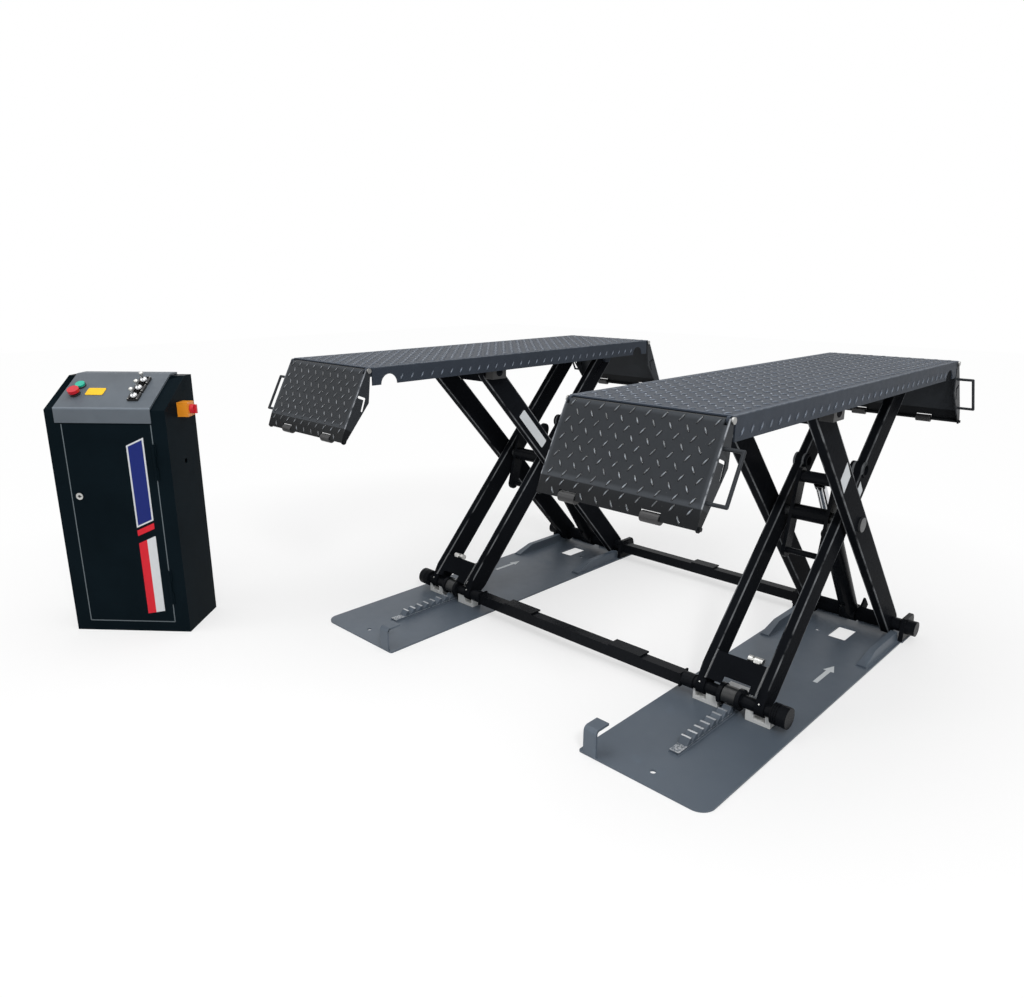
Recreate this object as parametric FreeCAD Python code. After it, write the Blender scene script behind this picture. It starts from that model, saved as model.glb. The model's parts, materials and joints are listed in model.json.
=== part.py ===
import FreeCAD, Part
import math
import os

os.makedirs("parts", exist_ok=True)
V = FreeCAD.Vector

# Main sizes, in mm
side_spacing = 1280.0
side_half = side_spacing / 2
plate_length = 1489.0
plate_front = -1391.0
plate_thick = 6.0
plate_rear = plate_front + plate_length
pivot_height = 57.0
lower_arm = 664.0
upper_arm = 561.0
raise_angle = 47.2
deck_drop = 66.6
deck_front = -1438.0
deck_rear = 95.0
ramp_hang_angle = 27.7
running = 0.05
body_gap = 0.3
open_gap = 0.5
overrun = 400.0
weld = 1.0

# Places that follow from the main sizes
rise_cos = math.cos(math.radians(raise_angle))
rise_sin = math.sin(math.radians(raise_angle))
centre_y = -lower_arm * rise_cos
centre_z = pivot_height + lower_arm * rise_sin
slider_y = 2 * centre_y
slider_z = pivot_height
arm_total = lower_arm + upper_arm
front_top_y = -arm_total * rise_cos
top_z = pivot_height + arm_total * rise_sin
rear_top_y = slider_y + arm_total * rise_cos
deck_top = top_z + deck_drop

# Shafts
main_shaft_r = 20.0
main_bore_r = main_shaft_r + running
centre_shaft_r = 18.0
centre_bore_r = centre_shaft_r + running
top_pin_r = 15.0
top_bore_r = top_pin_r + running

# Lanes across one side, measured outward from the cylinder in its middle
gland_r = 37.0
lever_play = 18.0
lever_sheet = 12.0
lever_head = 4.0
arm_play = 14.0
arm_thick = 30.0
lane_step = 15.0
lane_play = 4.0
glide_width = 40.0
glide_play = 2.0
rail_sheet = 5.5
rail_inset = 12.5
bearing_step = 36.0
bearing_thick = 16.0
bearing_over = 5.5
lever_in = gland_r + lever_play
lever_out = lever_in + lever_sheet
lever_head_out = lever_out + lever_head
inner_lane_in = lever_head_out + arm_play
inner_lane_out = inner_lane_in + arm_thick
outer_lane_in = inner_lane_out + lane_step
outer_lane_out = outer_lane_in + arm_thick
glide_in = outer_lane_out + lane_play
glide_out = glide_in + glide_width
rail_in = glide_out + glide_play
rail_out = rail_in + rail_sheet
deck_half = rail_out + rail_inset
bearing_in = outer_lane_out + bearing_step
bearing_out = bearing_in + bearing_thick
plate_half = bearing_out - bearing_over
outer_half = 42.0
inner_half = 40.0

nodes = {}


def box(x0, x1, y0, y1, z0, z1):
    return Part.makeBox(x1 - x0, y1 - y0, z1 - z0, V(x0, y0, z0))


def round_x(radius, x0, x1, y, z):
    return Part.makeCylinder(radius, x1 - x0, V(x0, y, z), V(1, 0, 0))


def round_y(radius, y0, y1, x, z):
    return Part.makeCylinder(radius, y1 - y0, V(x, y0, z), V(0, 1, 0))


def round_z(radius, z0, z1, x, y):
    return Part.makeCylinder(radius, z1 - z0, V(x, y, z0), V(0, 0, 1))


def ring_x(outer, inner, x0, x1, y, z):
    return round_x(outer, x0, x1, y, z).cut(round_x(inner, x0, x1, y, z))


def slab(points, x0, x1):
    corners = [V(x0, y, z) for y, z in points]
    face = Part.Face(Part.makePolygon(corners + corners[:1]))
    return face.extrude(V(x1 - x0, 0, 0))


def join(shapes):
    whole = shapes[0]
    for shape in shapes[1:]:
        whole = whole.fuse(shape)
    return whole.removeSplitter()


def minus(shape, cuts):
    for cutter in cuts:
        shape = shape.cut(cutter)
    return shape


def flip_x(shape):
    return shape.mirror(V(0, 0, 0), V(1, 0, 0))


def pair(shape):
    return [shape, flip_x(shape)]


def group(shapes):
    solids = []
    for shape in shapes:
        solids += shape.Solids
    return Part.makeCompound(solids)


def turned(shape, angle, y, z):
    shape = shape.copy()
    shape.rotate(V(0, 0, 0), V(1, 0, 0), angle)
    shape.translate(V(0, y, z))
    return shape


def stadium(start, end, half, x0, x1):
    body = box(x0, x1, start, end, -half, half)
    return join([body, round_x(half, x0, x1, start, 0), round_x(half, x0, x1, end, 0)])


def offset(point, angle, length):
    rad = math.radians(angle)
    return (point[0] + length * math.cos(rad), point[1] + length * math.sin(rad))


def sides(name, shape):
    right = shape.copy()
    right.translate(V(side_half, 0, 0))
    left = flip_x(shape)
    left.translate(V(-side_half, 0, 0))
    nodes["right_" + name] = right
    nodes["left_" + name] = left


def rounded_plate(x0, x1, y0, y1, z0, z1, radii):
    plate = box(x0, x1, y0, y1, z0, z1)
    corners = [(x0, y0, 1, 1), (x1, y0, -1, 1), (x1, y1, -1, -1), (x0, y1, 1, -1)]
    for (x, y, sx, sy), radius in zip(corners, radii):
        cx = x + sx * radius
        cy = y + sy * radius
        block = box(min(x, cx), max(x, cx), min(y, cy), max(y, cy), z0, z1)
        plate = plate.cut(block).fuse(round_z(radius, z0, z1, cx, cy).common(block))
    return plate.removeSplitter()


# Base plate with its cut-out, anchor holes and rear lip
corner_r = 45.0
small_corner_r = 8.0
window_in = -12.0
window_out = 54.0
window_front = -165.0
window_rear = -49.0
window_r = 5.0
anchor_r = 9.0
front_anchor_out = 6.0
front_anchor_y = -1330.0
rear_anchor_out = -60.0
rear_anchor_y = -140.0
anchors = ((front_anchor_out, front_anchor_y), (rear_anchor_out, rear_anchor_y))
lip_front = 44.0
lip_rear = 56.0
lip_top = 16.0
lip_in = -156.0
lip_out = 151.0
lip_notch = 22.0
base = rounded_plate(-plate_half, plate_half, plate_front, plate_rear, 0, plate_thick,
                     (small_corner_r, corner_r, small_corner_r, small_corner_r))
window = rounded_plate(window_in, window_out, window_front, window_rear, -overrun, overrun, [window_r] * 4)
base = base.cut(window)
for x, y in anchors:
    base = base.cut(round_z(anchor_r, -overrun, overrun, x, y))
lips = [box(lip_in, -lip_notch, lip_front, lip_rear, plate_thick, lip_top),
        box(lip_notch, lip_out, lip_front, lip_rear, plate_thick, lip_top)]
sides("base_plate", group([base] + lips))

# Toothed safety rack
rack_half = 16.0
rack_start = -1219.0
rack_tab = 42.0
tab_top = 14.0
tooth_start = -1160.0
tooth_pitch = 34.0
tooth_count = 9
tooth_rise = 23.0
tooth_flat = 6.0
tooth_fall = 2.0
valley_top = 16.0
crown_top = 34.0
outline = [(rack_start, plate_thick), (rack_start, tab_top), (rack_start + rack_tab, tab_top)]
for k in range(tooth_count):
    crown = tooth_start + k * tooth_pitch
    if k:
        outline.append((crown - tooth_rise, valley_top))
    outline.append((crown, crown_top))
    outline.append((crown + tooth_flat, crown_top))
    outline.append((crown + tooth_flat + tooth_fall, valley_top))
outline.append((crown + tooth_flat + tooth_fall, plate_thick))
sides("rack", slab(outline, -rack_half, rack_half))

# Side curbs
curb_front = -332.0
curb_slope_end = -240.0
curb_rear = -30.0
curb_nose = 12.0
curb_top = 40.0
curb_play = 1.5
curb_width = 34.0
curb_lean = 5.5
curb_foot_in = outer_lane_out + curb_play
curb_foot_out = curb_foot_in + curb_width
curb_head_in = curb_foot_in + curb_lean
curb_head_out = curb_foot_out - curb_lean
curb_side = slab([(curb_front, plate_thick), (curb_front, curb_nose), (curb_slope_end, curb_top),
                  (curb_rear, curb_top), (curb_rear, plate_thick)], curb_foot_in, curb_foot_out)
curb_ring = [V(curb_foot_in, curb_front, plate_thick), V(curb_foot_out, curb_front, plate_thick),
             V(curb_head_out, curb_front, curb_top), V(curb_head_in, curb_front, curb_top)]
curb_section = Part.Face(Part.makePolygon(curb_ring + curb_ring[:1]))
curb = curb_side.common(curb_section.extrude(V(0, curb_rear - curb_front, 0)))
curbs = []
for sx in (-1, 1):
    for side in pair(curb):
        moved = side.copy()
        moved.translate(V(sx * side_half, 0, 0))
        curbs.append(moved)
nodes["side_curbs"] = group(curbs)

# Foot stops at the inner front corners
hook_in = -190.0
hook_out = -145.0
hook_length = 60.0
hook_height = 90.0
hook_sheet = 7.0
hook_bend = 16.0
hook_rear = plate_front + hook_length
bend_y = plate_front + hook_bend
bend_z = hook_height - hook_bend
inner_bend = hook_bend - hook_sheet
wall_y = plate_front + hook_sheet
under_z = hook_height - hook_sheet
stop = box(hook_in, hook_out, plate_front, hook_rear, plate_thick, hook_height)
fill = box(hook_in, hook_out, plate_front, bend_y, bend_z, hook_height)
stop = stop.cut(fill).fuse(round_x(hook_bend, hook_in, hook_out, bend_y, bend_z).common(fill))
hollow = box(hook_in, hook_out, wall_y, hook_rear, plate_thick, under_z)
fill = box(hook_in, hook_out, wall_y, bend_y, bend_z, under_z)
hollow = hollow.cut(fill).fuse(round_x(inner_bend, hook_in, hook_out, bend_y, bend_z).common(fill))
stop = stop.cut(hollow).removeSplitter()
stop_right = stop.copy()
stop_right.translate(V(side_half, 0, 0))
nodes["foot_stops"] = group([stop_right, flip_x(stop_right)])

# Rear bearings and rear shaft
bearing_foot_front = -36.0
bearing_foot_rear = 86.0
bearing_head_front = -28.0
bearing_head_rear = 66.0
bearing_chamfer = 10.0
bearing_height = 91.0
cap_length = 33.0
cap_r = 28.0
collar_r = 24.0
shoulder_z = bearing_height - bearing_chamfer
bearing_outline = [(bearing_foot_front, plate_thick), (bearing_head_front, shoulder_z),
                   (bearing_head_front + bearing_chamfer, bearing_height),
                   (bearing_head_rear - bearing_chamfer, bearing_height),
                   (bearing_head_rear, shoulder_z), (bearing_foot_rear, plate_thick)]
bearing_bore = round_x(main_bore_r, 0, overrun, 0, pivot_height)
bearing = slab(bearing_outline, bearing_in, bearing_out).cut(bearing_bore)
sides("rear_bearings", group(pair(bearing)))
shaft = round_x(main_shaft_r, -bearing_out, bearing_out, 0, pivot_height)
cap = round_x(cap_r, bearing_out, bearing_out + cap_length, 0, pivot_height)
spacer = round_x(collar_r, outer_lane_out + weld, bearing_in - body_gap, 0, pivot_height)
sides("rear_shaft", join([shaft, cap] + pair(spacer)))

# Rear cross beam
beam_half = 20.0
beam_wall = 4.0
rear_beam_end = side_half - bearing_out - body_gap
end_plate = 6.0
end_half = 27.0
tab_half = 55.0
tab_reach = 52.0
tab_thick = 6.0
beam_low = pivot_height - beam_half
beam_high = pivot_height + beam_half


def square_tube(x_end, y):
    outer = box(-x_end, x_end, y - beam_half, y + beam_half, beam_low, beam_high)
    inside = beam_half - beam_wall
    low = pivot_height - inside
    high = pivot_height + inside
    return outer.cut(box(-x_end, x_end, y - inside, y + inside, low, high))


rear_flange = box(rear_beam_end - end_plate, rear_beam_end, -end_half, end_half,
                  pivot_height - end_half, pivot_height + end_half)
rear_tab = box(-tab_half, tab_half, -beam_half, tab_reach - beam_half, beam_high, beam_high + tab_thick)
nodes["rear_cross_beam"] = join([square_tube(rear_beam_end, 0), rear_tab] + pair(rear_flange))

# Front cross beam, which rides on the sliders
beam_step = 10.0
block_over = 12.0
collar_play = 1.0
left_tab_out = 326.0
left_tab_in = 184.0
right_tab_in = 177.0
right_tab_out = 311.0
front_tabs = ((-left_tab_out, -left_tab_in), (right_tab_in, right_tab_out))
inner_block_end = inner_lane_out + block_over
shaft_reach = outer_lane_out + beam_step
front_beam_end = side_half - shaft_reach
beam_collar_out = side_half - inner_block_end - collar_play
front_flange = box(front_beam_end - end_plate, front_beam_end, slider_y - collar_r, slider_y + collar_r,
                   pivot_height - collar_r, pivot_height + collar_r)
right_collar = ring_x(collar_r, main_bore_r, front_beam_end, beam_collar_out, slider_y, slider_z)
left_bore_r = main_shaft_r + open_gap
left_collar = ring_x(collar_r, left_bore_r, -beam_collar_out, -front_beam_end, slider_y, slider_z)
beam_parts = [square_tube(front_beam_end, slider_y), right_collar, left_collar] + pair(front_flange)
for x0, x1 in front_tabs:
    beam_parts.append(box(x0, x1, slider_y - beam_half, slider_y - beam_half + tab_reach,
                          beam_high, beam_high + tab_thick))
nodes["front_cross_beam"] = join(beam_parts)

# Outer arms, from the rear shaft up to the front of the deck
arm_turn = 180.0 - raise_angle
plate_up = 440.0
plate_wide = 100.0
cross_sheet = 6.0
tube_r = 27.0
tube_play = 4.0
lug_sheet = 8.0
lug_half = 25.0
lug_reach = 58.0
eye_half = 30.0
tube_in = eye_half + tube_play
lug_in = tube_in + tube_play
lug_out = lug_in + lug_sheet
plate_near = lower_arm + plate_up
plate_far = plate_near + plate_wide
bar = stadium(0, arm_total, outer_half, outer_lane_in, outer_lane_out)
stub = round_x(top_pin_r, outer_lane_out, glide_out + weld, arm_total, 0)
hub = round_x(tube_r, tube_in, outer_lane_in, 0, 0)
lug = box(lug_in, lug_out, -lug_half, lug_half, -lug_reach, 0)
cross = box(-outer_lane_in, outer_lane_in, plate_near, plate_far, -outer_half, cross_sheet - outer_half)
arms = join([cross] + pair(bar) + pair(stub) + pair(hub) + pair(lug))
arms = minus(arms, [round_x(main_bore_r, -overrun, overrun, 0, 0),
                    round_x(centre_bore_r, -overrun, overrun, lower_arm, 0)])
sides("outer_arms", turned(arms, arm_turn, 0, pivot_height))

# Centre shaft
head_r = 24.0
head_thick = 8.0
head_in = outer_lane_out + body_gap
pivot_shaft = round_x(centre_shaft_r, -head_in, head_in, centre_y, centre_z)
pivot_head = round_x(head_r, head_in, head_in + head_thick, centre_y, centre_z)
sides("centre_shaft", join([pivot_shaft] + pair(pivot_head)))

# Inner arms, from the slider up to the rear of the deck
foot_half = 26.0
foot_taper = 60.0
sheet_near = 18.0
sheet_far = 114.0
sheet_low = 34.0
notch_in = -31.0
notch_out = 60.0
notch_far = 42.0
boss_far = 183.0
boss_up = 25.0
boss_r = 26.0
boss_bore = 16.0
boss_inside = 13.0
boss_outside = 4.0
boss_along = lower_arm + boss_far
boss_in = inner_lane_in - boss_inside
boss_out = inner_lane_out + boss_outside
bar = slab([(0, -foot_half), (foot_taper, -inner_half), (arm_total, -inner_half), (arm_total, inner_half),
            (foot_taper, inner_half), (0, foot_half)], inner_lane_in, inner_lane_out)
foot = round_x(foot_half, inner_lane_in, inner_lane_out, 0, 0)
head = round_x(inner_half, inner_lane_in, inner_lane_out, arm_total, 0)
boss = round_x(boss_r, boss_in, boss_out, boss_along, boss_up)
sheet = box(-inner_lane_in, inner_lane_in, sheet_near, sheet_far, sheet_low, inner_half)
sheet = sheet.cut(box(notch_in, notch_out, sheet_near, notch_far, sheet_low, inner_half))
arm = minus(join([bar, foot, head, boss]), [round_x(main_bore_r, 0, overrun, 0, 0),
                                            round_x(centre_bore_r, 0, overrun, lower_arm, 0),
                                            round_x(top_bore_r, 0, overrun, arm_total, 0),
                                            round_x(boss_bore, 0, overrun, boss_along, boss_up)])
sides("inner_arms", turned(group(pair(arm) + [sheet]), raise_angle, slider_y, slider_z))

# Air fitting of the pawl release, on a tab under the cross sheet
fitting_in = 12.0
fitting_out = 60.0
fitting_r = 12.0
fitting_past = 12.0
fitting_up = 22.0
waist_in = 27.0
waist_out = 33.0
waist_r = 8.0
tab_lap = 20.0
tab_play = 6.0
fitting_along = sheet_far + fitting_past
fitting = round_x(fitting_r, fitting_in, fitting_out, fitting_along, fitting_up)
fitting = fitting.cut(ring_x(fitting_r + weld, waist_r, waist_in, waist_out, fitting_along, fitting_up))
tab = box(waist_out, fitting_out - tab_play, sheet_far - tab_lap, fitting_along,
          fitting_up, sheet_low - body_gap)
sides("release_fitting", turned(join([fitting, tab]), raise_angle, slider_y, slider_z))

# Rocking lever on the centre shaft
lever_lead_angle = 28.2
lever_angle = raise_angle + lever_lead_angle
lever_up = 120.0
lever_end = 150.0
lever_down = 133.0
lever_half = 25.0
sleeve_r = 26.0
press_r = 20.0
lever_pin_r = 10.0
lever_head_r = 13.0
plate = stadium(-lever_down, lever_end - lever_half, lever_half, lever_in, lever_out)
sleeve = round_x(sleeve_r, -lever_out, lever_out, 0, 0)
press = round_x(press_r, -lever_in, lever_in, lever_up, 0)
low_pin = round_x(lever_pin_r, -lever_in, lever_in, -lever_down, 0)
low_head = round_x(lever_head_r, lever_out, lever_head_out, -lever_down, 0)
lever = join([sleeve, press, low_pin] + pair(plate) + pair(low_head))
lever = lever.cut(round_x(centre_bore_r, -overrun, overrun, 0, 0))
sides("lever_frame", turned(lever, lever_angle, centre_y, centre_z))

# Hydraulic cylinder between the rear shaft and the lever
press_y, press_z = offset((centre_y, centre_z), lever_angle, lever_up)
cylinder_angle = math.degrees(math.atan2(press_z - pivot_height, press_y))
cylinder_reach = math.hypot(press_y, press_z - pivot_height)
barrel_r = 33.0
barrel_bore = 26.0
barrel_length = 460.0
bore_start = 45.0
bore_cap = 18.0
bore_end = barrel_length - bore_cap
gland_length = 34.0
rod_r = 18.0
rod_bore = rod_r + running
port_r = 8.0
port_reach = 45.0
port_inset = 60.0
port_low = 75.0
port_high = barrel_length - port_inset
rod_inside = 200.0
piston_thick = 25.0
piston_start = barrel_length - rod_inside
piston_end = piston_start + piston_thick
pad_thick = 14.0
pad_r = 21.0
eye = round_x(barrel_r, -eye_half, eye_half, 0, 0)
body = round_y(barrel_r, 0, barrel_length, 0, 0)
gland = round_y(gland_r, barrel_length - gland_length, barrel_length, 0, 0)
ports = [round_z(port_r, 0, port_reach, 0, s) for s in (port_low, port_high)]
barrel = join([eye, body, gland] + ports)
barrel = minus(barrel, [round_y(barrel_bore, bore_start, bore_end, 0, 0),
                        round_y(rod_bore, bore_start, overrun + barrel_length, 0, 0),
                        round_x(main_bore_r, -overrun, overrun, 0, 0)])
sides("cylinder_barrel", turned(barrel, cylinder_angle, 0, pivot_height))
pad_end = cylinder_reach - press_r - body_gap
rod = round_y(rod_r, piston_start, pad_end, 0, 0)
piston = round_y(barrel_bore - running, piston_start, piston_end, 0, 0)
pad = round_y(pad_r, pad_end - pad_thick, pad_end, 0, 0)
sides("cylinder_rod", turned(join([rod, piston, pad]), cylinder_angle, 0, pivot_height))

# Slider shaft with its discs and ribbed outer cap
cap_over = 22.0
ribbed_length = 50.0
ribbed_r = 33.0
groove_r = 30.0
groove_width = 3.0
groove_step = 7.0
groove_count = 3
disc_play = 8.0
disc_thick = 13.0
disc_r = 34.0
outer_block_end = inner_lane_out + cap_over
ribbed_in = outer_block_end + open_gap
ribbed_out = ribbed_in + ribbed_length
disc_in = rack_half + disc_play
disc_out = disc_in + disc_thick
cap = round_x(ribbed_r, ribbed_in, ribbed_out, slider_y, slider_z)
for k in range(groove_count):
    start = ribbed_in + (k + 1) * groove_step - groove_width
    cap = cap.cut(ring_x(ribbed_r + weld, groove_r, start, start + groove_width, slider_y, slider_z))
disc = ring_x(disc_r, main_bore_r, disc_in, disc_out, slider_y, slider_z)
shaft = round_x(main_shaft_r, body_gap - shaft_reach, ribbed_in, slider_y, slider_z)
sides("slider_shaft", group([shaft, cap] + pair(disc)))

# Nylon slide blocks under the slider shaft
block_fore = 14.0
block_aft = 30.0
block_top = 50.0
web_top = 19.0
block_play = 2.0
block_lead = 30.0
slot_play = 4.0
block_front = slider_y - block_fore
block_rear = slider_y + block_aft
block_in = disc_out + block_play
outer_block_start = inner_lane_in - block_lead
slot_in = inner_lane_in - slot_play
slot_out = inner_lane_out + slot_play
block_low = plate_thick + body_gap
shaft_groove = round_x(main_bore_r, -overrun, overrun, slider_y, slider_z)
arm_slot = box(slot_in, slot_out, block_front, block_rear, web_top, block_top)
outer_block = box(outer_block_start, outer_block_end, block_front, block_rear, block_low, block_top)
inner_block = box(-inner_block_end, -block_in, block_front, block_rear, block_low, block_top)
outer_block = minus(outer_block, [arm_slot, shaft_groove])
inner_block = minus(inner_block, [flip_x(arm_slot), shaft_groove])
sides("slide_blocks", group([outer_block, inner_block]))

# Safety pawl over the rack
pawl_half = 38.0
pawl_back = 36.0
pawl_length = 26.0
pawl_top = 70.0
collar_half = disc_in - block_play
pawl_collar_r = 30.0
collar_cut = 45.0
neck_low = 46.0
pawl_front = slider_y + pawl_back
pawl_rear = pawl_front + pawl_length
pawl_low = crown_top + body_gap
collar = round_x(pawl_collar_r, -collar_half, collar_half, slider_y, slider_z)
collar = collar.cut(box(-collar_half, collar_half, slider_y - pawl_collar_r, slider_y + pawl_collar_r,
                        0, collar_cut))
neck = box(-collar_half, collar_half, slider_y, pawl_front, neck_low, pawl_top)
block = box(-pawl_half, pawl_half, pawl_front, pawl_rear, pawl_low, pawl_top)
pawl = join([collar, neck, block]).cut(shaft_groove)
sides("safety_pawl", pawl)

# Deck with skirts, hinge ears, arm ears and guide rails
deck_sheet = 4.0
skirt_depth = 58.0
skirt_inset = 10.0
notch_r = 33.0
notch_inset = 78.0
hinge_drop = 10.0
hinge_out = 3.0
hinge_pin_r = 5.0
hinge_bore = hinge_pin_r + running
ear_r = 9.0
ear_sheet = 7.5
ear_back = 40.0
end_bar_front = 5.0
end_bar_thick = 8.0
end_bar_depth = 30.0
arm_ear_sheet = 10.0
arm_ear_half = 45.0
arm_ear_r = 26.0
pin_over = 5.0
rail_depth = 30.0
rail_far = 1180.0
rail_near = 700.0
ear_out = deck_half - deck_sheet - open_gap
ear_in = ear_out - ear_sheet
arm_ear_out = outer_lane_in - glide_play
arm_ear_in = arm_ear_out - arm_ear_sheet
pin_in = inner_lane_in - pin_over
rail_front = rear_top_y - rail_far
rail_rear = rear_top_y - rail_near
deck_under = deck_top - deck_sheet
hinge_z = deck_top - hinge_drop
front_hinge_y = deck_front - hinge_out
deck_middle = (deck_front + deck_rear) / 2


def flip_y(shape):
    return shape.mirror(V(0, deck_middle, 0), V(0, 1, 0))


top_plate = box(-deck_half, deck_half, deck_front, deck_rear, deck_under, deck_top)
skirt = box(deck_half - deck_sheet, deck_half, deck_front + skirt_inset, deck_rear - skirt_inset,
            deck_top - skirt_depth, deck_under)
notch_z = deck_top - skirt_depth
rear_notch = round_x(notch_r, deck_half - deck_sheet, deck_half, deck_rear - notch_inset, notch_z)
front_notch = round_x(notch_r, deck_half - deck_sheet, deck_half, deck_front + notch_inset, notch_z)
outer_skirt = skirt.cut(rear_notch)
inner_skirt = flip_x(minus(skirt, [rear_notch, front_notch]))
end_bar = box(-ear_out, ear_out, deck_front + end_bar_front, deck_front + end_bar_front + end_bar_thick,
              deck_top - end_bar_depth, deck_under)
ear = join([round_x(ear_r, ear_in, ear_out, front_hinge_y, hinge_z),
            box(ear_in, ear_out, front_hinge_y, front_hinge_y + ear_back, hinge_z - ear_r, deck_under)])
ear = ear.cut(round_x(hinge_bore, 0, overrun, front_hinge_y, hinge_z))
arm_ear = slab([(rear_top_y - arm_ear_half, deck_under), (rear_top_y - arm_ear_r, top_z),
                (rear_top_y + arm_ear_r, top_z), (rear_top_y + arm_ear_half, deck_under)],
               arm_ear_in, arm_ear_out)
arm_ear = arm_ear.fuse(round_x(arm_ear_r, arm_ear_in, arm_ear_out, rear_top_y, top_z))
arm_pin = round_x(top_pin_r, pin_in, arm_ear_in, rear_top_y, top_z)
rail = box(rail_in, rail_out, rail_front, rail_rear, deck_under - rail_depth, deck_under)
deck_parts = [top_plate, outer_skirt, inner_skirt, end_bar, flip_y(end_bar)]
for piece in (ear, flip_y(ear), arm_ear, arm_pin, rail):
    deck_parts += pair(piece)
sides("deck", join(deck_parts))

# Ramp hinge pins
hinge_head_r = 8.0
hinge_head = 4.7
hinge_head_in = deck_half + body_gap
hinge_head_out = hinge_head_in + hinge_head
hinge_rod = round_x(hinge_pin_r, -hinge_head_in, hinge_head_in, front_hinge_y, hinge_z)
hinge_cap = round_x(hinge_head_r, hinge_head_in, hinge_head_out, front_hinge_y, hinge_z)
hinge = join([hinge_rod] + pair(hinge_cap))
sides("deck_hinge_pins", group([hinge, flip_y(hinge)]))

# Slide blocks of the outer arms under the deck
glide_half = 35.0
glide_low = 25.0
glide = box(glide_in, glide_out, front_top_y - glide_half, front_top_y + glide_half,
            top_z - glide_low, deck_under - body_gap)
glide = glide.cut(round_x(top_bore_r, 0, overrun, front_top_y, top_z))
sides("top_slide_blocks", group(pair(glide)))

# Ramp in the plane of its hinge, hanging from the front end of the deck
ramp_sheet = 4.0
ramp_length = 198.0
lip_length = 48.0
lip_lean_angle = 20.3
ramp_notch = 15.0
roller_r = 13.0
roller_half = 25.0
inner_roller = 130.0
outer_roller = 105.0
roller_spots = (-inner_roller, outer_roller)
tip_back = 9.3
tip_along = 43.0
tip_rod_r = 5.0
tip_disc_r = 9.0
cut_up = 19.0
cut_play = 1.0
slot_half = 4.0
handle_r = 4.5
handle_reach = 46.0
handle_top_out = 28.0
handle_top_drop = 56.0
handle_low_out = 84.0
handle_low_drop = 163.0
flange_nose_back = 8.0
flange_nose_rise = 6.0
flange_waist_out = 5.0
flange_waist_drop = 102.0
lock_slot_shares = ((-0.212, -0.399), (-0.101, -0.444), (-0.167, -0.626))
lock_slot = [(y * ramp_length, z * ramp_length) for y, z in lock_slot_shares]
handle_out = deck_half + handle_reach
handle_top = (-handle_top_out, -handle_top_drop)
handle_low = (-handle_low_out, -handle_low_drop)
cut_half = roller_half + cut_play
notch_half = ear_in - cut_play
down_angle = 270.0 - ramp_hang_angle
out_angle = down_angle - 90.0
lip_angle = 270.0 - lip_lean_angle
lip_normal = lip_angle - 90.0
face_start = offset((0, 0), out_angle, hinge_drop)
back_start = offset((0, 0), out_angle, hinge_drop - ramp_sheet)
bend_face = offset(face_start, down_angle, ramp_length)
bend_back = offset(back_start, down_angle, ramp_length)
lip_face = offset(bend_face, lip_angle, lip_length)
lip_back = offset(lip_face, lip_normal, -ramp_sheet)
tip = offset(offset(bend_face, lip_angle, tip_along), lip_normal, -tip_back)
sheet_points = [face_start, bend_face, lip_face, lip_back, bend_back, back_start]
flange_points = [face_start, (flange_nose_back, flange_nose_rise), (-flange_waist_out, -flange_waist_drop),
                 offset(tip, 0, tip_disc_r), lip_back, lip_face, bend_face]
ramp_sheet_body = slab(sheet_points, -deck_half + ramp_sheet, deck_half - ramp_sheet)
notch_out = offset(face_start, down_angle, ramp_notch)
notch_back = offset(offset(back_start, out_angle, -ramp_sheet), down_angle, ramp_notch)
notch_top = offset(offset(back_start, out_angle, -ramp_sheet), down_angle, -ramp_sheet)
face_top = offset(face_start, down_angle, -ramp_sheet)
ear_notch = slab([offset(face_top, out_angle, weld), offset(notch_out, out_angle, weld),
                  notch_back, notch_top], notch_half, deck_half - ramp_sheet)
ramp_sheet_body = minus(ramp_sheet_body, pair(ear_notch))
cut_from = offset(bend_face, lip_angle, lip_length - cut_up)
cut_to = offset(cut_from, lip_angle, cut_up + weld)
roller_cut = [offset(cut_from, lip_normal, weld), offset(cut_to, lip_normal, weld),
              offset(cut_to, lip_normal, -ramp_sheet - weld),
              offset(cut_from, lip_normal, -ramp_sheet - weld)]
for spot in roller_spots:
    ramp_sheet_body = ramp_sheet_body.cut(slab(roller_cut, spot - cut_half, spot + cut_half))
flange = slab(flange_points, deck_half - ramp_sheet, deck_half)
flange = flange.fuse(round_x(tip_disc_r, deck_half - ramp_sheet, deck_half, tip[0], tip[1]))
for start, end in zip(lock_slot, lock_slot[1:]):
    run = math.hypot(end[0] - start[0], end[1] - start[1])
    lean = math.degrees(math.atan2(end[1] - start[1], end[0] - start[0]))
    groove = stadium(0, run, slot_half, deck_half - ramp_sheet, deck_half)
    flange = flange.cut(turned(groove, lean, start[0], start[1]))
flange = flange.cut(round_x(hinge_bore, 0, overrun, 0, 0))
tip_rod = round_x(tip_rod_r, -hinge_head_out, hinge_head_out, tip[0], tip[1])
ramp_handle = []
for y, z in (handle_top, handle_low):
    ramp_handle.append(round_x(handle_r, deck_half - ramp_sheet, handle_out, y, z))
run = math.hypot(handle_low[0] - handle_top[0], handle_low[1] - handle_top[1])
lean = math.degrees(math.atan2(handle_low[1] - handle_top[1], handle_low[0] - handle_top[0]))
grip = round_y(handle_r, 0, run, handle_out, 0)
ramp_handle.append(turned(grip, lean, handle_top[0], handle_top[1]))
ramp_handle += [Part.makeSphere(handle_r, V(handle_out, y, z)) for y, z in (handle_top, handle_low)]
ramp = join([ramp_sheet_body, tip_rod] + pair(flange) + ramp_handle)
ramp.translate(V(0, front_hinge_y, hinge_z))
sides("front_ramp", ramp)
sides("rear_ramp", flip_y(ramp))
rollers = []
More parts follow.
